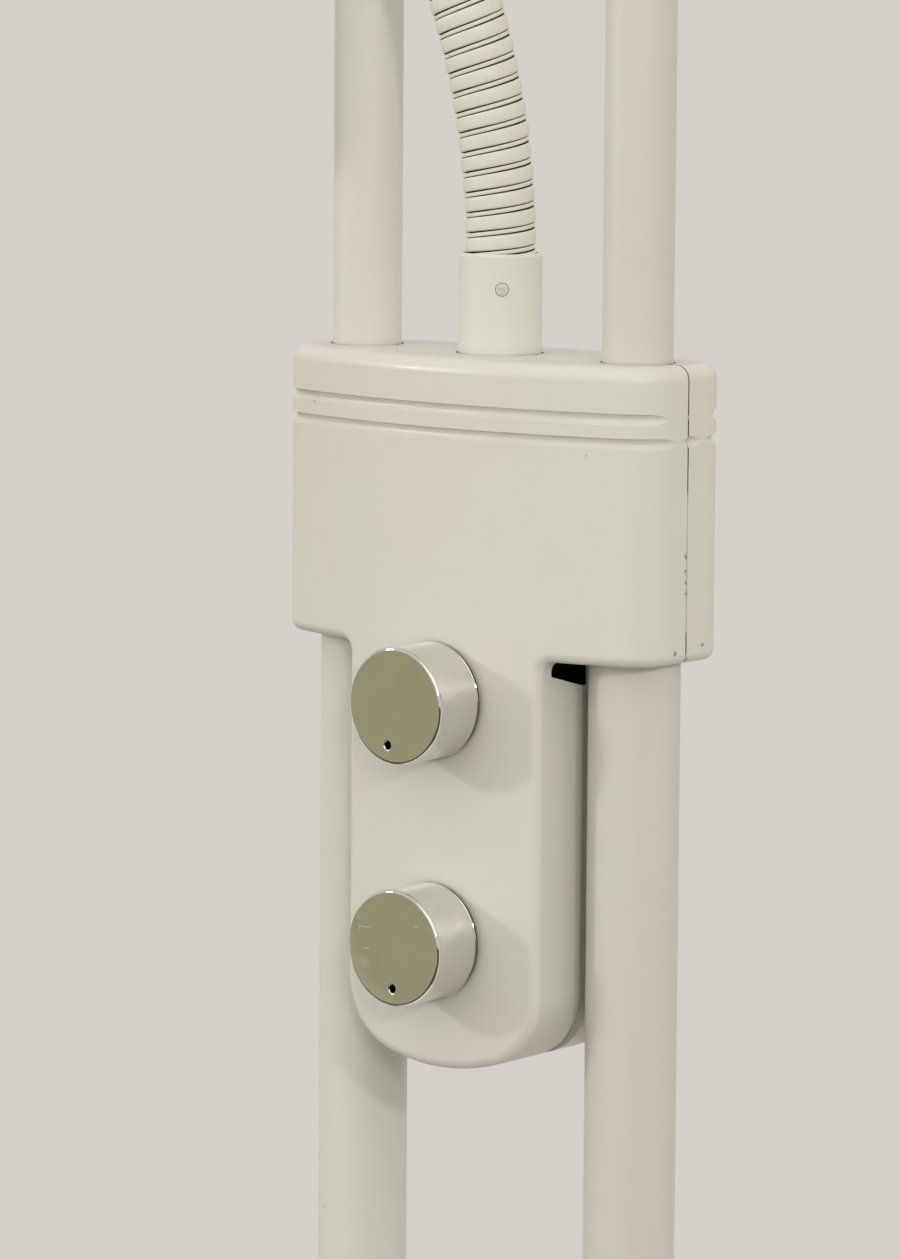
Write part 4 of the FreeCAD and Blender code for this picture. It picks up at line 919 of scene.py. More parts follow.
def wound_tree() -> GeometryTree:
    """Builds the tree that winds a strip's section round a spine.

    Returns:
        The tree. Its geometry is the section, across in x and down in y, with 1 in z where it sways.
    """
    tree = GeometryTree("wound_strip")
    for name, kind in (("Spine", "NodeSocketObject"), ("Outer Radius", "NodeSocketFloat"),
                       ("Pitch", "NodeSocketFloat"), ("Turns", "NodeSocketInt"),
                       ("Segments per Turn", "NodeSocketInt"), ("Rows", "NodeSocketInt"),
                       ("Phase", "NodeSocketFloat"), ("Sway", "NodeSocketVector"),
                       ("Seam Depth", "NodeSocketFloat"), ("Finish", "NodeSocketMaterial"),
                       ("Seam", "NodeSocketMaterial")):
        tree.ask(name, kind)
    given = tree.source.outputs
    steps = tree.sums("MULTIPLY", given["Turns"], given["Segments per Turn"])
    grid = tree.add("GeometryNodeMeshGrid", {
        "Size X": 1.0, "Size Y": 1.0, "Vertices X": tree.sums("ADD", steps, 1.0),
        "Vertices Y": given["Rows"]})
    spot = tree.add("ShaderNodeSeparateXYZ", {0: tree.add("GeometryNodeInputPosition").outputs[0]})
    turns = tree.sums("MULTIPLY", tree.sums("ADD", spot.outputs[0], 0.5), given["Turns"])
    last = tree.sums("SUBTRACT", given["Rows"], 1.0)
    row = tree.sums("MULTIPLY", tree.sums("ADD", spot.outputs[1], 0.5), last)

    def section_at(shift: float) -> bpy.types.Node:
        """Samples the strip's section.

        Args:
            shift: how far from the present row.

        Returns:
            The node that splits the section's point there.
        """
        point = tree.add("GeometryNodeSampleIndex", {
            "Geometry": given["Geometry"],
            "Value": tree.add("GeometryNodeInputPosition").outputs[0],
            "Index": tree.sums("ROUND", tree.sums("ADD", row, shift))},
            data_type="FLOAT_VECTOR", domain="POINT")
        return tree.add("ShaderNodeSeparateXYZ", {0: point.outputs[0]})

    across = section_at(0.0)
    depth = tree.sums("MAXIMUM", section_at(-0.1).outputs[1], section_at(0.1).outputs[1])
    # Faces deep in the slits take the near-black finish: painted shade between the turns.
    sunk = tree.add("FunctionNodeCompare", {0: depth, 1: given["Seam Depth"]}, data_type="FLOAT",
                    operation="GREATER_THAN")
    painted = tree.add("GeometryNodeSetMaterial", {
        "Geometry": grid.outputs[0], "Material": given["Finish"]})
    slit_shaded = tree.add("GeometryNodeSetMaterial", {
        "Geometry": painted.outputs[0], "Selection": sunk.outputs[0], "Material": given["Seam"]})
    start = tree.sums("ADD", across.outputs[0],
                      tree.sums("MULTIPLY", tree.sums("ADD", turns, 0.5), given["Pitch"]))
    spine = tree.add("GeometryNodeObjectInfo", {0: given["Spine"]}, transform_space="ORIGINAL")
    along = tree.add("GeometryNodeSampleCurve", {"Curves": spine.outputs["Geometry"], "Length": start},
                     mode="LENGTH", use_all_curves=True)
    angle = tree.sums("ADD", tree.sums("MULTIPLY", turns, math.tau), given["Phase"])
    side = tree.vectors("CROSS_PRODUCT", along.outputs["Tangent"], along.outputs["Normal"])
    out = tree.vectors("ADD", tree.scaled(along.outputs["Normal"], tree.sums("COSINE", angle)),
                       tree.scaled(side, tree.sums("SINE", angle)))
    radius = tree.sums("SUBTRACT", given["Outer Radius"], across.outputs[1])
    sway = tree.sums("MULTIPLY", tree.measure("DOT_PRODUCT", out, given["Sway"]), across.outputs[2])
    slid = tree.scaled(along.outputs["Tangent"], sway)
    axis = tree.vectors("ADD", along.outputs["Position"], slid)
    where = tree.vectors("ADD", axis, tree.scaled(out, radius))
    moved = tree.add("GeometryNodeSetPosition", {"Geometry": slit_shaded.outputs[0], "Position": where})
    joined = tree.add("GeometryNodeMergeByDistance", {
        "Geometry": moved.outputs[0], "Distance": WELD_DISTANCE})
    smooth = tree.add("GeometryNodeSetShadeSmooth", {"Geometry": joined.outputs[0], "Shade Smooth": True})
    fold = tree.add("GeometryNodeInputMeshEdgeAngle")
    sharp = tree.add("FunctionNodeCompare", {0: fold.outputs[0], 1: WOUND_CREASE}, data_type="FLOAT",
                     operation="GREATER_THAN")
    crisp = tree.add("GeometryNodeSetShadeSmooth", {
        "Geometry": smooth.outputs[0], "Selection": sharp.outputs[0], "Shade Smooth": False},
        domain="EDGE")
    tree.close(crisp.outputs[0], finished=True)
    return tree


def fastener_tree() -> GeometryTree:
    """Builds the tree that sets one fastener at each point, along the point's own direction.

    Returns:
        The tree. Its geometry is the points, with a direction each.
    """
    tree = GeometryTree("set_fasteners")
    tree.ask("Fastener", "NodeSocketObject")
    tree.ask("Turn", "NodeSocketFloat")
    tree.ask("Finish", "NodeSocketMaterial")
    given = tree.source.outputs
    shape = tree.add("GeometryNodeObjectInfo", {0: given["Fastener"]}, transform_space="ORIGINAL")
    facing = tree.add("GeometryNodeInputNamedAttribute", {"Name": "facing"}, data_type="FLOAT_VECTOR")
    aim = tree.add("FunctionNodeAlignRotationToVector", {"Vector": facing.outputs[0]}, axis="Z")
    spin = tree.add("FunctionNodeAxisAngleToRotation", {"Axis": (0.0, 0.0, 1.0), "Angle": given["Turn"]})
    turned = tree.add("FunctionNodeRotateRotation", {0: aim.outputs[0], 1: spin.outputs[0]},
                      rotation_space="LOCAL")
    placed = tree.add("GeometryNodeInstanceOnPoints", {
        "Points": given["Geometry"], "Instance": shape.outputs["Geometry"],
        "Rotation": turned.outputs[0]})
    tree.close(placed.outputs[0])
    return tree


def filament_tree() -> GeometryTree:
    """Builds the tree that coils a lamp's filament.

    Returns:
        The tree. Its geometry is one point at the filament's end.
    """
    tree = GeometryTree("coiled_filament")
    for name, kind in (("Length", "NodeSocketFloat"), ("Coil Radius", "NodeSocketFloat"),
                       ("Wire Radius", "NodeSocketFloat"), ("Turns", "NodeSocketFloat"),
                       ("Finish", "NodeSocketMaterial")):
        tree.ask(name, kind)
    given = tree.source.outputs
    coil = tree.add("GeometryNodeCurveSpiral", {
        "Resolution": 14, "Rotations": given["Turns"], "Start Radius": given["Coil Radius"],
        "End Radius": given["Coil Radius"], "Height": given["Length"]})
    wire = tree.add("GeometryNodeCurvePrimitiveCircle", {"Resolution": 6, "Radius": given["Wire Radius"]})
    swept = tree.add("GeometryNodeCurveToMesh", {
        0: coil.outputs[0], 1: wire.outputs[0], "Fill Caps": True})
    turn = tree.add("FunctionNodeEulerToRotation", {0: (0.0, math.pi / 2, 0.0)})
    placed = tree.add("GeometryNodeInstanceOnPoints", {
        "Points": given["Geometry"], "Instance": swept.outputs[0], "Rotation": turn.outputs[0]})
    tree.close(placed.outputs[0])
    return tree


def point_mesh(name: str, places: list[Point], facing: list[Point]) -> bpy.types.Mesh:
    """Makes the points that fasteners are set on.

    Args:
        name: the mesh's name.
        places: where the fasteners' seats are.
        facing: which way each one's head points.

    Returns:
        The mesh.
    """
    mesh = bpy.data.meshes.new(name)
    mesh.from_pydata(places, [], [])
    mesh.attributes.new("facing", "FLOAT_VECTOR", "POINT")
    for value, way in zip(mesh.attributes["facing"].data, facing):
        value.vector = way
    return mesh


class Fasteners:
    """The lamp's screws and bolts, drawn once each and set where the solids have them."""

    def __init__(self) -> None:
        """Builds the tree that sets them."""
        self.tree = fastener_tree()

    @staticmethod
    def pan_head(radius: float, height: float, shank: float, length: float) -> bpy.types.Mesh:
        """Draws a pan-head screw with a cross recess.

        Args:
            radius: the head's radius.
            height: the head's height.
            shank: the shank's radius.
            length: the shank's length.

        Returns:
            The screw, its seat at the origin and its head up.
        """
        body = turned_mesh("pan_head", [
            (0.0, -length), (shank * 0.55, -length), (shank, -length + shank * 0.6), (shank, 0.0),
            (radius, 0.0), (radius, height * 0.34), (radius * 0.96, height * 0.55),
            (radius * 0.84, height * 0.79), (radius * 0.62, height * 0.95), (radius * 0.3, height),
            (0.0, height)])
        deep = (radius * 0.62, radius * 0.13, height * 0.36)
        wide = (radius * 0.13, radius * 0.62, height * 0.36)
        middle = (0.0, 0.0, height * 0.86)
        tools = [block_mesh("recess_long", deep, middle), block_mesh("recess_cross", wide, middle)]
        return carved("pan_head_screw", body, tools)

    @staticmethod
    def grub(radius: float, length: float) -> bpy.types.Mesh:
        """Draws a slotted grub screw with a chamfered end.

        Args:
            radius: the screw's radius.
            length: the screw's length.

        Returns:
            The screw, its outer end at the origin and facing up.
        """
        body = turned_mesh("grub", [
            (0.0, -length), (radius, -length), (radius, -length * 0.3), (radius * 0.87, -length * 0.05),
            (radius * 0.8, -length * 0.02), (0.0, 0.0)])
        slot = block_mesh("slot", (radius * 0.56, radius * 0.11, length * 0.2), (0.0, 0.0, 0.0))
        return carved("slotted_grub", body, [slot])

    @staticmethod
    def hexagon(flats: float, height: float, shank: float, length: float) -> bpy.types.Mesh:
        """Draws a hexagon bolt whose head is turned off at the corners.

        Args:
            flats: the width across the flats.
            height: the head's height.
            shank: the shank's radius.
            length: the shank's length.

        Returns:
            The bolt, its seat at the origin and its head up.
        """
        corner = flats / math.sqrt(3)
        points: list[Point] = []
        for scale, level in ((0.955, 0.0), (1.0, 0.05), (1.0, 0.86), (0.87, 1.0)):
            for n in range(6):
                angle = math.tau * n / 6
                points.append((corner * scale * math.cos(angle), corner * scale * math.sin(angle),
                               height * level))
        faces: list[tuple[int, ...]] = [tuple(range(6)), tuple(range(18, 24))]
        for row in range(3):
            for n in range(6):
                low = row * 6
                after = (n + 1) % 6
                faces.append((low + n, low + after, low + 6 + after, low + 6 + n))
        head = mesh_from("bolt_head", points, faces)
        rod = turned_mesh("bolt_rod", [
            (0.0, -length), (shank * 0.7, -length), (shank, -length + shank * 0.3),
            (shank, height * 0.5), (0.0, height * 0.5)])
        work = bmesh.new()
        work.from_mesh(head)
        work.from_mesh(rod)
        work.to_mesh(head)
        work.free()
        head.shade_smooth()
        head.set_sharp_from_angle(angle=BOLT_CREASE)
        return head

    def place(self, name: str, shape: bpy.types.Mesh, places: list[Point], facing: list[Point],
              finish: bpy.types.Material, turn: float = 0.0) -> bpy.types.Object:
        """Sets a fastener at each place.

        Args:
            name: the piece's name.
            shape: the fastener.
            places: the seats.
            facing: the heads' directions.
            finish: the material.
            turn: how far each is turned about its own axis.

        Returns:
            The piece that holds them all.
        """
        pattern = add_object(name + "_pattern", shape)
        piece = self.tree.grow(name, point_mesh(name + "_points", places, facing),
                               {"Fastener": pattern, "Turn": turn, "Finish": finish})
        bpy.data.objects.remove(pattern)
        return piece


def settle(piece: bpy.types.Object, body: Body, slot: Slot, *nodes: str) -> bpy.types.Object:
    """Makes a new piece ride on a body in the place of CAD nodes.

    Args:
        piece: the piece.
        body: the body that it moves with.
        slot: not used.
        nodes: the nodes that it stands for.

    Returns:
        The piece.
    """
    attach(piece, body.value)
    if nodes:
        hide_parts(*nodes)
    LOG.info("%s rides on %s", piece.name, body.value)
    return piece


def middle_of(node: str) -> Vector:
    """Returns the centre of a CAD node's box."""
    low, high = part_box(node)
    return (low + high) / 2


@dataclass
class Stand:
    """The weighted base and the two pairs of tubes."""

    left: tuple[str, ...] = ("lower_tube_left", "upper_tube_left")
    right: tuple[str, ...] = ("lower_tube_right", "upper_tube_right")

    def build(self, palette: Palette, fasteners: Fasteners) -> None:
        """Dresses the base and the tubes.

        Args:
            palette: the finishes.
            fasteners: unused here, since the base's bolts are out of sight.
        """
        dress(palette.left_tube_lit, *self.left)
        dress(palette.right_tube_shaded, *self.right)
        dress(palette.fitting, "base_cover", "base_collars")
        dress(palette.iron, "base_weight")
        dress(palette.felt, "base_pad")
        dress(palette.rubber, "cord_gland")
        dress(palette.zinc, "base_bolts", "base_washers", "foot_plugs", "tube_bridge")
        dress(palette.nylon, "joint_bushes")


@dataclass
class ControlCasing:
    """The two casing halves with the dimmers inside, and the screws that hold them."""

    screw_head: float = 2.8 * MM
    screw_height: float = 2.2 * MM
    screw_shank: float = 1.5 * MM
    recess_turn: float = 0.5

    def build(self, palette: Palette, fasteners: Fasteners) -> None:
        """Dresses the halves and what is inside, and sets the screws from behind.

        Args:
            palette: the finishes.
        """
        dress(palette.casing, "casing_front", "casing_rear")
        dress(palette.plastic, "upper_dimmer", "lower_dimmer", "dimmer_chokes")
        dress(palette.laminate, "dimmer_board")
        dress(palette.capacitor_shaded, "dimmer_capacitors")
        dress(palette.aluminium, "dimmer_heatsinks")
        dress(palette.nylon, "terminal_block")
        dress(palette.zinc, "dimmer_nuts")
        self.screws(palette, fasteners)

    def screws(self, palette: Palette, fasteners: Fasteners) -> None:
        """Sets the four cross-headed screws in the rear half's pockets.

        Args:
            palette: the finishes.
        """
        low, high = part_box("casing_screws")
        seat = high.y - self.screw_height
        shape = Fasteners.pan_head(self.screw_head, self.screw_height, self.screw_shank, seat - low.y)
        half = max(-low.x, high.x) - self.screw_head
        inner = self.lower_half()
        top = high.z - self.screw_head
        bottom = low.z + self.screw_head
        places = [(-half, seat, top), (half, seat, top), (-inner, seat, bottom), (inner, seat, bottom)]
        behind = [(0.0, 1.0, 0.0)] * len(places)
        piece = fasteners.place("casing_cross_screws", shape, places, behind, palette.zinc, self.recess_turn)
        settle(piece, Body.STAND, Slot.ZINC, "casing_screws")

    def lower_half(self) -> float:
        """Reads the two lower screws' places from their own corners.

        Returns:
            Half the distance between them.
        """
        mesh = frame["nodes"]["casing_screws"].data
        edge = middle_of("casing_screws").z
        xs = [v.co.x for v in mesh.vertices if v.co.z < edge]
        return (max(xs) - min(xs)) / 2 - self.screw_head


@dataclass
class Dial:
    """One polished knob on its dimmer's shaft, with a drilled pointer mark."""

    name: str
    body: Body
    pointer: float
    worn: float
    scratches: tuple[Scratch, ...] = ()
    touched: Span = (-10.0 * MM, -4.7 * MM)
    hazy: Span = (4.5 * MM, 5.0 * MM)
    height: float = 17.0 * MM
    radius: float = 16.0 * MM
    foot: tuple[Span, ...] = (
        (0.35, 0.0), (0.1, 0.08), (0.0, 0.3), (0.0, 0.85), (0.1, 0.95), (0.3, 1.0), (0.3, 1.3),
        (0.1, 1.35), (0.0, 1.45), (0.0, 1.8))
    rim: float = 0.9 * MM
    rim_below: float = 0.3 * MM
    rim_inside: float = 0.15 * MM
    recess_radius: float = 10.5 * MM
    recess_depth: float = 6.0 * MM
    bore: float = 3.05 * MM
    web: float = 3.2 * MM
    mark_reach: float = 11.2 * MM
    mark_radius: float = 1.1 * MM
    mark_lip: float = 0.42 * MM
    mark_depth: float = 2.2 * MM
    grub_radius: float = 1.58 * MM
    spare: float = 0.5 * MM
    tone: Colour = (0.80, 0.79, 0.76)

    def build(self, palette: Palette, fasteners: Fasteners) -> None:
        """Dresses the shaft and turns the knob.

        Args:
            palette: the finishes.
            fasteners: unused here, since the grub screw is out of sight.
        """
        dress(palette.zinc, self.name + "_shaft", self.name + "_knob_screw")
        low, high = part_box(self.name + "_knob")
        centre = (low + high) / 2
        turn = math.radians(self.pointer)
        mark = (-self.mark_reach * math.sin(turn), -self.mark_reach * math.cos(turn))
        pit, touched, hazy = ((centre.x + across, low.y, centre.z + rise)
                              for across, rise in (mark, self.touched, self.hazy))
        scored = tuple((centre.x + ends[0] * MM, centre.z + ends[1] * MM, centre.x + ends[2] * MM,
                        centre.z + ends[3] * MM) for ends in self.scratches)
        finish = Polished(self.name + "_knob_plating", self.tone, pit, touched, high.y, self.worn, hazy,
                          scored).build()
        mesh = self.shape(mark)
        mesh.transform(Matrix(((1.0, 0.0, 0.0, centre.x), (0.0, 0.0, -1.0, high.y),
                               (0.0, 1.0, 0.0, centre.z), (0.0, 0.0, 0.0, 1.0))))
        mesh.materials.append(finish)
        settle(add_object(self.name + "_turned_knob", mesh), self.body, Slot.KNOB, self.name + "_knob")

    def outline(self) -> list[Span]:
        """Draws the knob's half section: bore, recess, foot with a fine groove, side and rim.

        Returns:
            Radius and height of each corner, from the bore's end to the face's middle.
        """
        full = self.radius
        inner = self.height - self.web
        section = [(0.0, inner), (self.bore, inner), (self.bore, self.recess_depth),
                   (self.recess_radius, self.recess_depth), (self.recess_radius, 0.0)]
        for inset, rise in self.foot:
            section.append((full - inset * MM, rise * MM))
        section.append((full, self.height - self.rim - self.rim_below))
        for angle in quarter_turn():
            section.append((full - self.rim * (1 - math.cos(angle)),
                            self.height - self.rim * (1 - math.sin(angle))))
        section.append((full - self.rim - self.rim_inside, self.height))
        section.append((0.0, self.height))
        return section

    def shape(self, mark: Span) -> bpy.types.Mesh:
        """Turns the knob and drills its pointer mark and the grub screw's hole.

        Args:
            mark: the pointer mark's place across the face.

        Returns:
            The knob, its foot at the origin and its face up.
        """
        body = turned_mesh(self.name + "_turning", self.outline(), 128)
        bit = [(0.0, -self.mark_depth - self.spare), (self.mark_radius, -self.mark_depth)]
        for angle in quarter_turn():
            bit.append((self.mark_radius + self.mark_lip * (1 - math.cos(angle)),
                        self.mark_lip * (math.sin(angle) - 1)))
        bit += [(bit[-1][0], self.spare), (0.0, self.spare)]
        drill = turned_mesh(self.name + "_drill", bit, 40)
        drill.transform(Matrix.Translation((mark[0], mark[1], self.height)))
        middle = (self.recess_depth + self.height - self.web) / 2
        out = self.radius * 1.2
        way = turned_mesh(self.name + "_grub_way", [
            (0.0, 0.0), (self.grub_radius, 0.0), (self.grub_radius, out), (0.0, out)], 28)
        way.transform(Matrix.Translation((0.0, 0.0, middle)) @ Matrix.Rotation(math.pi / 2, 4, "X"))
        return carved(self.name + "_turned", body, [drill, way])


@dataclass
class Gooseneck:
    """The sleeve on the casing and the strip-wound hose that rises from it."""

    low: float = 1092.5 * MM
    straight: float = 20.0 * MM
    first_radius: float = 235.0 * MM
    first_bend: float = math.radians(36.0)
    second_radius: float = 95.0 * MM
    turn: float = math.radians(218.0)
    radius: float = 9.75 * MM
    pitch: float = 5.7 * MM
    segments: int = 44
    phase: float = 1.72
    crest: float = 1.96 * MM
    gap: float = 0.33 * MM
    floor: float = 0.3 * MM
    deep: float = 1.5 * MM
    crown: tuple[Span, ...] = ((0.62, 0.00003), (0.86, 0.0001), (0.96, 0.00022), (1.0, 0.00045))
    bead: tuple[Span, ...] = ((0.0, 0.0002), (0.00008, 0.00006), (0.00022, 0.0))
    bead_rise: float = 0.00004
    draft: float = 0.00002
    sway: float = 0.13 * MM
    sway_way: Span = (0.775, 0.632)
    slit_shade_depth: float = 0.7 * MM
    bend_height: float = 0.19
    bend_from: float = 0.03
    bend_to: float = 0.19
    screw_radius: float = 1.88 * MM
    screw_length: float = 1.25 * MM
    screw_reach: float = 11.4 * MM
    screw_turn: float = math.radians(41.0)
    slot_turn: float = 0.4

    def build(self, palette: Palette, fasteners: Fasteners) -> None:
        """Dresses the sleeve, winds the hose and sets the sleeve's screw.

        Args:
            palette: the finishes.
        """
        dress(palette.fitting, "neck_sleeve")
        dress(palette.brass, "neck_nipple", "neck_nut", "hose_end")
        self.hose(palette)
        way = (math.sin(self.screw_turn), -math.cos(self.screw_turn), 0.0)
        seat = (way[0] * self.screw_reach, way[1] * self.screw_reach, middle_of("neck_sleeve_screw").z)
        shape = Fasteners.grub(self.screw_radius, self.screw_length)
        piece = fasteners.place("neck_sleeve_grub", shape, [seat], [way], palette.screw_paint, self.slot_turn)
        settle(piece, Body.STAND, Slot.ZINC, "neck_sleeve_screw")

    def length(self) -> float:
        """Returns the hose's length along its axis."""
        arcs = self.first_radius * self.first_bend + self.second_radius * (math.pi - self.first_bend)
        return self.straight * 2 + arcs

    def spine(self) -> bpy.types.Object:
        """Draws the hose's axis: upright, over in two bends, and down into the head.

        Returns:
            The axis as a curve.
        """
        lean = Vector((math.cos(self.turn), math.sin(self.turn), 0.0))
        at = Vector((0.0, 0.0, self.low))
        knots: list[tuple[Vector, Vector, float, float]] = []
        angle = 0.0

        def way() -> Vector:
            """Returns the axis's direction at the present angle."""
            return lean * math.sin(angle) + Vector((0.0, 0.0, math.cos(angle)))

        knots.append((at.copy(), way(), 0.0, self.straight / 3))
        at = at + way() * self.straight
        runs = [(self.first_radius, self.first_bend / 2)] * 2
        runs += [(self.second_radius, (math.pi - self.first_bend) / 6)] * 6
        back = self.straight / 3
        for radius, bend in runs:
            handle = 4 / 3 * math.tan(bend / 4) * radius
            knots.append((at.copy(), way(), back, handle))
            across = lean * math.cos(angle) - Vector((0.0, 0.0, math.sin(angle)))
            at = at + across * radius * (1 - math.cos(bend)) + way() * radius * math.sin(bend)
            angle += bend
            back = handle
        knots.append((at.copy(), way(), back, self.straight / 3))
        at = at + way() * self.straight
        knots.append((at.copy(), way(), self.straight / 3, 0.0))
        data = bpy.data.curves.new("hose_axis", "CURVE")
        data.dimensions = "3D"
        data.resolution_u = 48
        line = data.splines.new("BEZIER")
        line.bezier_points.add(len(knots) - 1)
        for knot, (spot, heading, before, after) in zip(line.bezier_points, knots):
            knot.handle_left_type = "FREE"
            knot.handle_right_type = "FREE"
            knot.co = spot
            knot.handle_left = spot - heading * before
            knot.handle_right = spot + heading * after
        return add_object("hose_axis", data)

    def section(self, pitch: float) -> bpy.types.Mesh:
        """Draws the strip's section over one pitch: a crowned crest, two slits and a sunk bead.

        Args:
            pitch: the width of one turn.

        Returns:
            The section, across in x and down in y, with 1 in z on the bead that sways between crests.
        """
        slit = self.crest + self.gap
        right = [(0.0, 0.0, 0.0)]
        right += [(self.crest * share, down, 0.0) for share, down in self.crown]
        right += [(self.crest + self.draft, self.deep, 0.0), (slit - self.draft, self.deep, 1.0)]
        right += [(slit + out, self.floor + down, 1.0) for out, down in self.bead]
        right.append((pitch / 2, self.floor - self.bead_rise, 1.0))
        rows = [(-x, y, z) for x, y, z in reversed(right[1:])] + right
        mesh = bpy.data.meshes.new("strip_section")
        mesh.from_pydata(rows, [(n, n + 1) for n in range(len(rows) - 1)], [])
        return mesh

    def hose(self, palette: Palette) -> None:
        """Winds the strip and closes its ends.

        Args:
            palette: the finishes.
        """
        long = self.length()
        turns = round(long / self.pitch)
        pitch = long / turns
        spine = self.spine()
        section = self.section(pitch)
        piece = wound_tree().grow("wound_hose", section, {
            "Spine": spine, "Outer Radius": self.radius, "Pitch": pitch, "Turns": turns - 1,
            "Segments per Turn": self.segments, "Rows": len(section.vertices), "Phase": self.phase,
            "Sway": (self.sway * self.sway_way[0], self.sway * self.sway_way[1], 0.0),
            "Seam Depth": self.slit_shade_depth, "Finish": palette.hose, "Seam": palette.seam})
        bpy.data.objects.remove(spine)
        work = bmesh.new()
        work.from_mesh(piece.data)
        rims = [edge for edge in work.edges if edge.is_boundary]
        bmesh.ops.holes_fill(work, edges=rims, sides=0)
        bmesh.ops.recalc_face_normals(work, faces=work.faces)
        work.to_mesh(piece.data)
        work.free()
        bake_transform(piece)
        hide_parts("gooseneck_hose")
        LOG.info("wound_hose bends from %s to %s", Body.NECK.value, Body.HEAD.value)


@dataclass
class ReadingHead:
    """The shade, the holder and the bulb at the hose's far end."""

    screw_radius: float = 1.9 * MM
    slot_turn: float = 0.9

    def build(self, palette: Palette, fasteners: Fasteners) -> None:
        """Dresses the head and sets its sleeve's screw.

        Args:
            palette: the finishes.
        """
        dress(palette.fitting, "head_sleeve", "reading_shade")
        dress(palette.brass, "head_nipple", "reading_bulb_cap")
        dress(palette.plastic, "reading_holder")
        dress(palette.opal, "reading_bulb")
        low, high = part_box("head_sleeve_screw")
        middle = (low + high) / 2
        shape = Fasteners.grub(self.screw_radius, high.y - low.y)
        piece = fasteners.place("head_sleeve_grub", shape, [(middle.x, low.y, middle.z)], [(0.0, -1.0, 0.0)],
                                palette.screw_paint, self.slot_turn)
        settle(piece, Body.HEAD, Slot.ZINC, "head_sleeve_screw")


@dataclass
class UplighterBowl:
    """The open bowl on the upper tubes with its linear lamp."""

    bolt_flats: float = 13.0 * MM
    bolt_height: float = 5.3 * MM
    bolt_shank: float = 4.0 * MM
    screw_head: float = 3.5 * MM
    screw_height: float = 2.4 * MM
    screw_shank: float = 2.0 * MM
    recess_turn: float = 0.3
    coil_radius: float = 1.3 * MM
    coil_margin: float = 6.0 * MM
    wire_radius: float = 0.28 * MM
    coil_turns: float = 46.0

    def build(self, palette: Palette, fasteners: Fasteners) -> None:
        """Dresses the bowl and the lamp, and sets the bolts and screws.

        Args:
            palette: the finishes.
        """
        dress(palette.fitting, "bowl", "bowl_collars")
        dress(palette.zinc, "top_plugs", "lamp_bracket", "bowl_washers", "reflector_posts")
        dress(palette.ceramic, "lamp_holders", "halogen_caps")
        dress(palette.quartz, "halogen_tube")
        dress(palette.aluminium, "reflector")
        self.bolts(palette, fasteners)
        self.filament(palette)

    def bolts(self, palette: Palette, fasteners: Fasteners) -> None:
        """Sets the two hexagon bolts and the two screws of the lamp's holders.

        Args:
            palette: the finishes.
        """
        low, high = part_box("bowl_bolts")
        seat = high.z - self.bolt_height
        half = high.x - self.bolt_flats / math.sqrt(3)
        shape = Fasteners.hexagon(self.bolt_flats, self.bolt_height, self.bolt_shank, seat - low.z)
        piece = fasteners.place("bowl_hex_bolts", shape, [(-half, 0.0, seat), (half, 0.0, seat)],
                                [(0.0, 0.0, 1.0)] * 2, palette.zinc)
        settle(piece, Body.STAND, Slot.ZINC, "bowl_bolts")
        low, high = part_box("holder_screws")
        seat = high.x - self.screw_height
        level = (low.z + high.z) / 2
        inner = min(v.co.x for v in frame["nodes"]["holder_screws"].data.vertices if v.co.x > 0)
        shape = Fasteners.pan_head(self.screw_head, self.screw_height, self.screw_shank, seat - inner)
        piece = fasteners.place("holder_cross_screws", shape, [(-seat, 0.0, level), (seat, 0.0, level)],
                                [(-1.0, 0.0, 0.0), (1.0, 0.0, 0.0)], palette.zinc, self.recess_turn)
        settle(piece, Body.STAND, Slot.ZINC, "holder_screws")

    def filament(self, palette: Palette) -> None:
        """Coils the filament inside the quartz tube.

        Args:
            palette: the finishes.
        """
        low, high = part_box("halogen_tube")
        start = (low.x + self.coil_margin, (low.y + high.y) / 2, (low.z + high.z) / 2)
        seed = bpy.data.meshes.new("filament_end")
        seed.from_pydata([start], [], [])
        piece = filament_tree().grow("lamp_filament", seed, {
            "Length": high.x - low.x - self.coil_margin * 2, "Coil Radius": self.coil_radius,
            "Wire Radius": self.wire_radius, "Turns": self.coil_turns, "Finish": palette.wire})
        piece.data.shade_smooth()
        settle(piece, Body.STAND, Slot.ZINC)


@dataclass(frozen=True)
class SoftLight:
    """A soft round light: the way to it, its width, its watts and its colour."""

    name: str
    way: Point
    size: float
    power: float
    tint: Colour


@dataclass(frozen=True)
class MirrorBoard:
    """A board bowed round the lamp, out of the picture, for polished parts to mirror.

    Its two long edges have a distance and a height each, and it reaches from one angle to another.
    """

    name: str
    edges: tuple[Span, Span]
    reach: Span
    tones: tuple[Colour, Colour]
    steps: int = 24


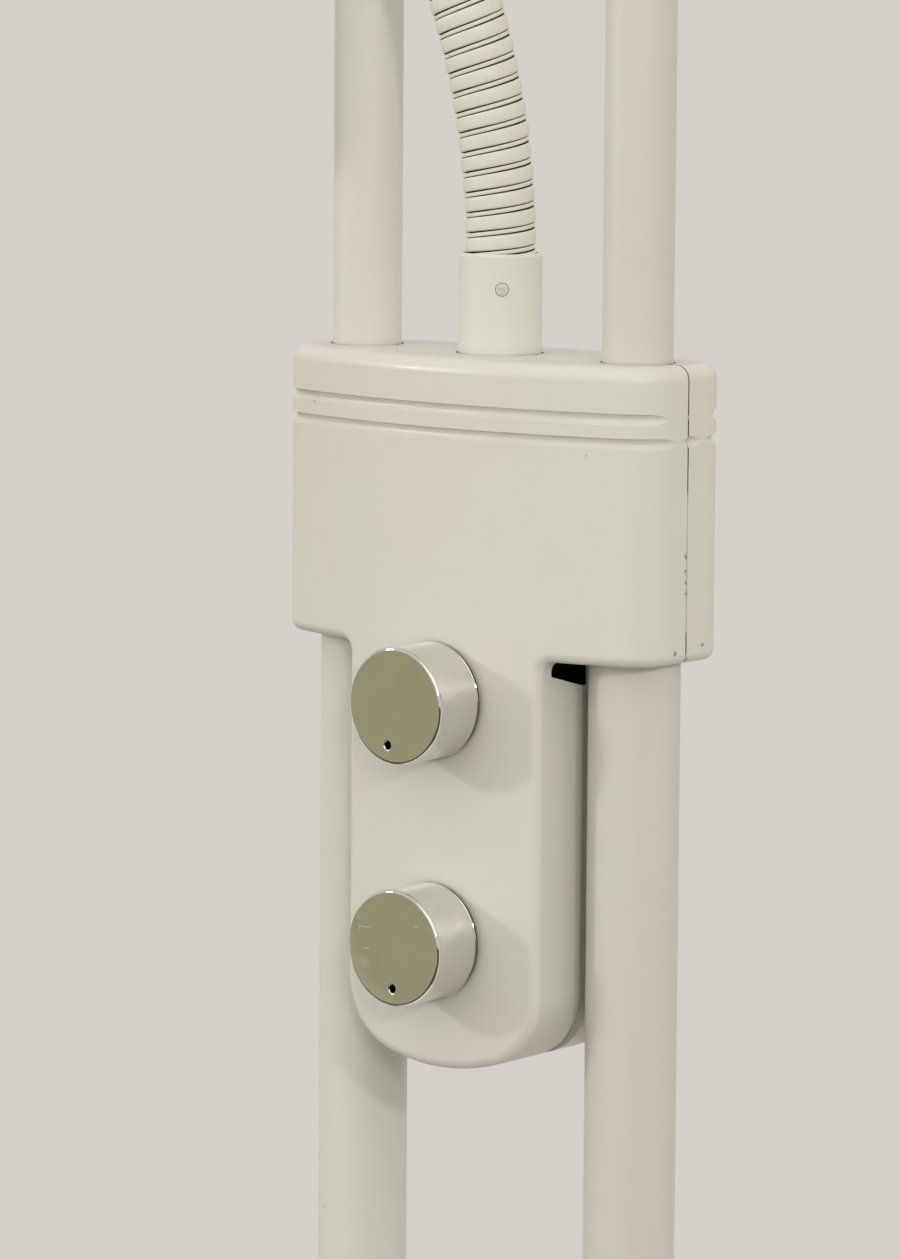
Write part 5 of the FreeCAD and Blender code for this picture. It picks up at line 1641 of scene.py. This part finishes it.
@dataclass
class Studio:
    """The floor, the light and the camera."""

    backdrop: Colour = shade(213, 207, 201)
    floor_tone: Colour = shade(213, 208, 201)
    ambient: float = 1.0
    ambient_tone: Colour = (1.0, 1.0, 0.995)
    unevenness: float = 0.09
    brighter_side: Point = (-0.72, -0.42, 0.55)
    floor_size: float = 70.0
    floor_bounce: float = 0.5
    floor_worn: float = 0.985
    floor_fades: Span = (0.5, 2.2)
    target: Point = (0.0, -0.03, 0.99)
    distance: float = 2.2
    lights: tuple[SoftLight, ...] = (
        SoftLight("window_left", (-0.674, -0.682, 0.288), 0.2, 10.6, (0.99, 1.0, 0.98)),
        SoftLight("window_right", (0.85, -0.40, 0.34), 0.12, 7.3, (1.0, 0.96, 0.925)),
        SoftLight("fill_right", (0.66, -0.68, 0.30), 0.25, 5.6, (1.0, 0.96, 0.925)))
    boards: tuple[MirrorBoard, ...] = (
        MirrorBoard("olive_board", ((2.7, 0.02), (2.7, 0.98)), (192.0, 284.0),
                    ((0.372, 0.354, 0.222), (0.357, 0.341, 0.210))),
        MirrorBoard("dark_floor", ((2.65, 0.015), (0.6, 0.015)), (150.0, 350.0),
                    ((0.105, 0.096, 0.072), (0.085, 0.078, 0.06))),
        MirrorBoard("dark_wall", ((2.65, 0.015), (2.65, 0.84)), (284.0, 345.0),
                    ((0.105, 0.096, 0.072), (0.085, 0.078, 0.06))),
        MirrorBoard("pale_ceiling", ((2.3, 1.75), (1.5, 2.9)), (265.0, 352.0),
                    ((1.36, 1.35, 1.28), (1.28, 1.27, 1.2))))
    camera_place: Point = (0.933236, -1.165232, 1.205193)
    azimuth: float = 39.2098
    pitch: float = 5.5332
    roll: float = -0.4174
    sensor: float = 36.0
    lens: float = 156.177
    shift: float = -0.15
    clip: Span = (0.05, 200.0)

    def build(self) -> None:
        """Sets the stage round the lamp."""
        self.world()
        self.floor()
        for board in self.boards:
            self.stand(board)
        hung = [self.hang(light) for light in self.lights]
        self.spare(hung[0], frame["bodies"][Body.HEAD.value].children_recursive)
        self.camera()
        bpy.context.scene.view_settings.view_transform = "Standard"

    @staticmethod
    def spare(light: bpy.types.Object, pieces: list[bpy.types.Object]) -> None:
        """Keeps pieces from casting a light's shadow, since the picture shows none from them.

        Args:
            light: the light.
            pieces: the pieces that it shines past.
        """
        group = bpy.data.collections.new(light.name + "_passes")
        for piece in pieces:
            group.objects.link(piece)
        for entry in group.collection_objects:
            entry.light_linking.link_state = "EXCLUDE"
        light.light_linking.blocker_collection = group

    @staticmethod
    def seen(graph: NodeKit) -> Socket:
        """Adds the test for rays that see the backdrop: the camera's, a mirror's or a lens's.

        Args:
            graph: the node tree that it is for.

        Returns:
            The test's socket.
        """
        path = graph.add("ShaderNodeLightPath").outputs
        first = graph.sums("MAXIMUM", path["Is Camera Ray"], path["Is Glossy Ray"])
        return graph.sums("MAXIMUM", first, path["Is Transmission Ray"])

    def world(self) -> None:
        """Makes the soft light from all round and the pale backdrop."""
        world = bpy.data.worlds.new("studio")
        world.use_nodes = True
        graph = NodeKit(world.node_tree)
        sky = graph.add("ShaderNodeTexCoord").outputs["Generated"]
        side = graph.measure("DOT_PRODUCT", sky, self.brighter_side)
        level = graph.add("ShaderNodeMath", {0: side, 1: self.ambient * self.unevenness, 2: self.ambient},
                          operation="MULTIPLY_ADD")
        light = graph.add("ShaderNodeBackground", {
            "Color": self.ambient_tone, "Strength": level.outputs[0]})
        back = graph.add("ShaderNodeBackground", {"Color": self.backdrop})
        mix = graph.add("ShaderNodeMixShader", {
            0: self.seen(graph), 1: light.outputs[0], 2: back.outputs[0]})
        graph.add("ShaderNodeOutputWorld", {"Surface": mix.outputs[0]})
        bpy.context.scene.world = world

    def floor(self) -> None:
        """Lays the pale floor, which takes the lamp's shadow and fades into the backdrop."""
        half = self.floor_size / 2
        corners = [(-half, -half, 0.0), (half, -half, 0.0), (half, half, 0.0), (-half, half, 0.0)]
        mesh = mesh_from("floor", corners, [(0, 1, 2, 3)])
        piece = add_object("floor", mesh)
        graph = NodeGraph("studio_floor")
        seen = self.seen(graph)
        worn = dimmed(self.floor_tone, self.floor_worn)
        shown = graph.blend(graph.noise(3.0, 2.0), self.floor_tone, worn)
        bounced = dimmed(self.floor_tone, self.floor_bounce)
        graph.give(Base_Color=graph.blend(seen, bounced, shown), Roughness=0.7)
        glow = graph.add("ShaderNodeEmission", {"Color": self.backdrop})
        far = graph.span(graph.measure("LENGTH", graph.place), *self.floor_fades)
        mix = graph.add("ShaderNodeMixShader", {
            0: graph.sums("MULTIPLY", far, seen), 1: graph.shader.outputs[0], 2: glow.outputs[0]})
        graph.join(mix.outputs[0], graph.output.inputs["Surface"])
        mesh.materials.append(graph.material)

    @staticmethod
    def stand(board: MirrorBoard) -> None:
        """Stands a board on the stage, where only mirrored rays see it.

        Args:
            board: the board.
        """
        points: list[Point] = []
        faces: list[tuple[int, ...]] = []
        start, end = board.reach
        for step in range(board.steps + 1):
            angle = math.radians(start + (end - start) * step / board.steps)
            for far, height in board.edges:
                points.append((far * math.cos(angle), far * math.sin(angle), height))
        for step in range(board.steps):
            faces.append((step * 2, step * 2 + 1, step * 2 + 3, step * 2 + 2))
        mesh = mesh_from(board.name, points, faces)
        piece = add_object(board.name, mesh)
        graph = NodeGraph(board.name + "_tone")
        tone = graph.blend(graph.noise(2.0, 2.0), *board.tones)
        glow = graph.add("ShaderNodeEmission", {"Color": tone})
        graph.join(glow.outputs[0], graph.output.inputs["Surface"])
        mesh.materials.append(graph.material)
        piece.visible_camera = False
        piece.visible_diffuse = False
        piece.visible_transmission = False
        piece.visible_shadow = False

    def hang(self, light: SoftLight) -> bpy.types.Object:
        """Hangs a soft light so that it shines on the target.

        Args:
            light: the light.

        Returns:
            The light's object.
        """
        data = bpy.data.lights.new(light.name, "AREA")
        data.shape = "DISK"
        data.size = light.size
        data.energy = light.power
        data.color = light.tint
        way = Vector(light.way)
        made = add_object(light.name, data)
        made.location = Vector(self.target) + way.normalized() * self.distance
        made.rotation_mode = "QUATERNION"
        made.rotation_quaternion = way.to_track_quat("Z", "Y")
        return made

    def camera(self) -> None:
        """Puts the camera at the picture's own viewing angle."""
        azimuth, pitch, roll = (math.radians(angle) for angle in (self.azimuth, self.pitch, self.roll))
        right = Vector((math.cos(azimuth), math.sin(azimuth), 0.0))
        level = Vector((-math.sin(azimuth), math.cos(azimuth), 0.0))
        ahead = level * math.cos(pitch) - Vector((0.0, 0.0, math.sin(pitch)))
        up = right.cross(ahead)
        side = right * math.cos(roll) - up * math.sin(roll)
        top = up * math.cos(roll) + right * math.sin(roll)
        data = bpy.data.cameras.new("camera")
        data.sensor_width = self.sensor
        data.lens = self.lens
        data.shift_y = self.shift
        data.clip_start, data.clip_end = self.clip
        made = add_object("camera", data)
        made.matrix_world = Matrix((
            (side.x, top.x, -ahead.x, self.camera_place[0]),
            (side.y, top.y, -ahead.y, self.camera_place[1]),
            (side.z, top.z, -ahead.z, self.camera_place[2]),
            (0.0, 0.0, 0.0, 1.0)))
        bpy.context.scene.camera = made


def main() -> None:
    """Builds the lamp's looks and its stage."""
    logging.basicConfig(level=logging.INFO, format="%(name)s: %(message)s")
    palette = Palette()
    fasteners = Fasteners()
    parts = (Stand(), ControlCasing(), Dial("upper", Body.UPPER_DIAL, 12.0, 0.08),
             Dial("lower", Body.LOWER_DIAL, 1.0, 0.5, LOWER_KNOB_SCRATCHES), Gooseneck(), ReadingHead(),
             UplighterBowl())
    for part in parts:
        part.build(palette, fasteners)
        LOG.info("%s is dressed", type(part).__name__)
    Studio().build()


if __name__ == "__main__":
    main()
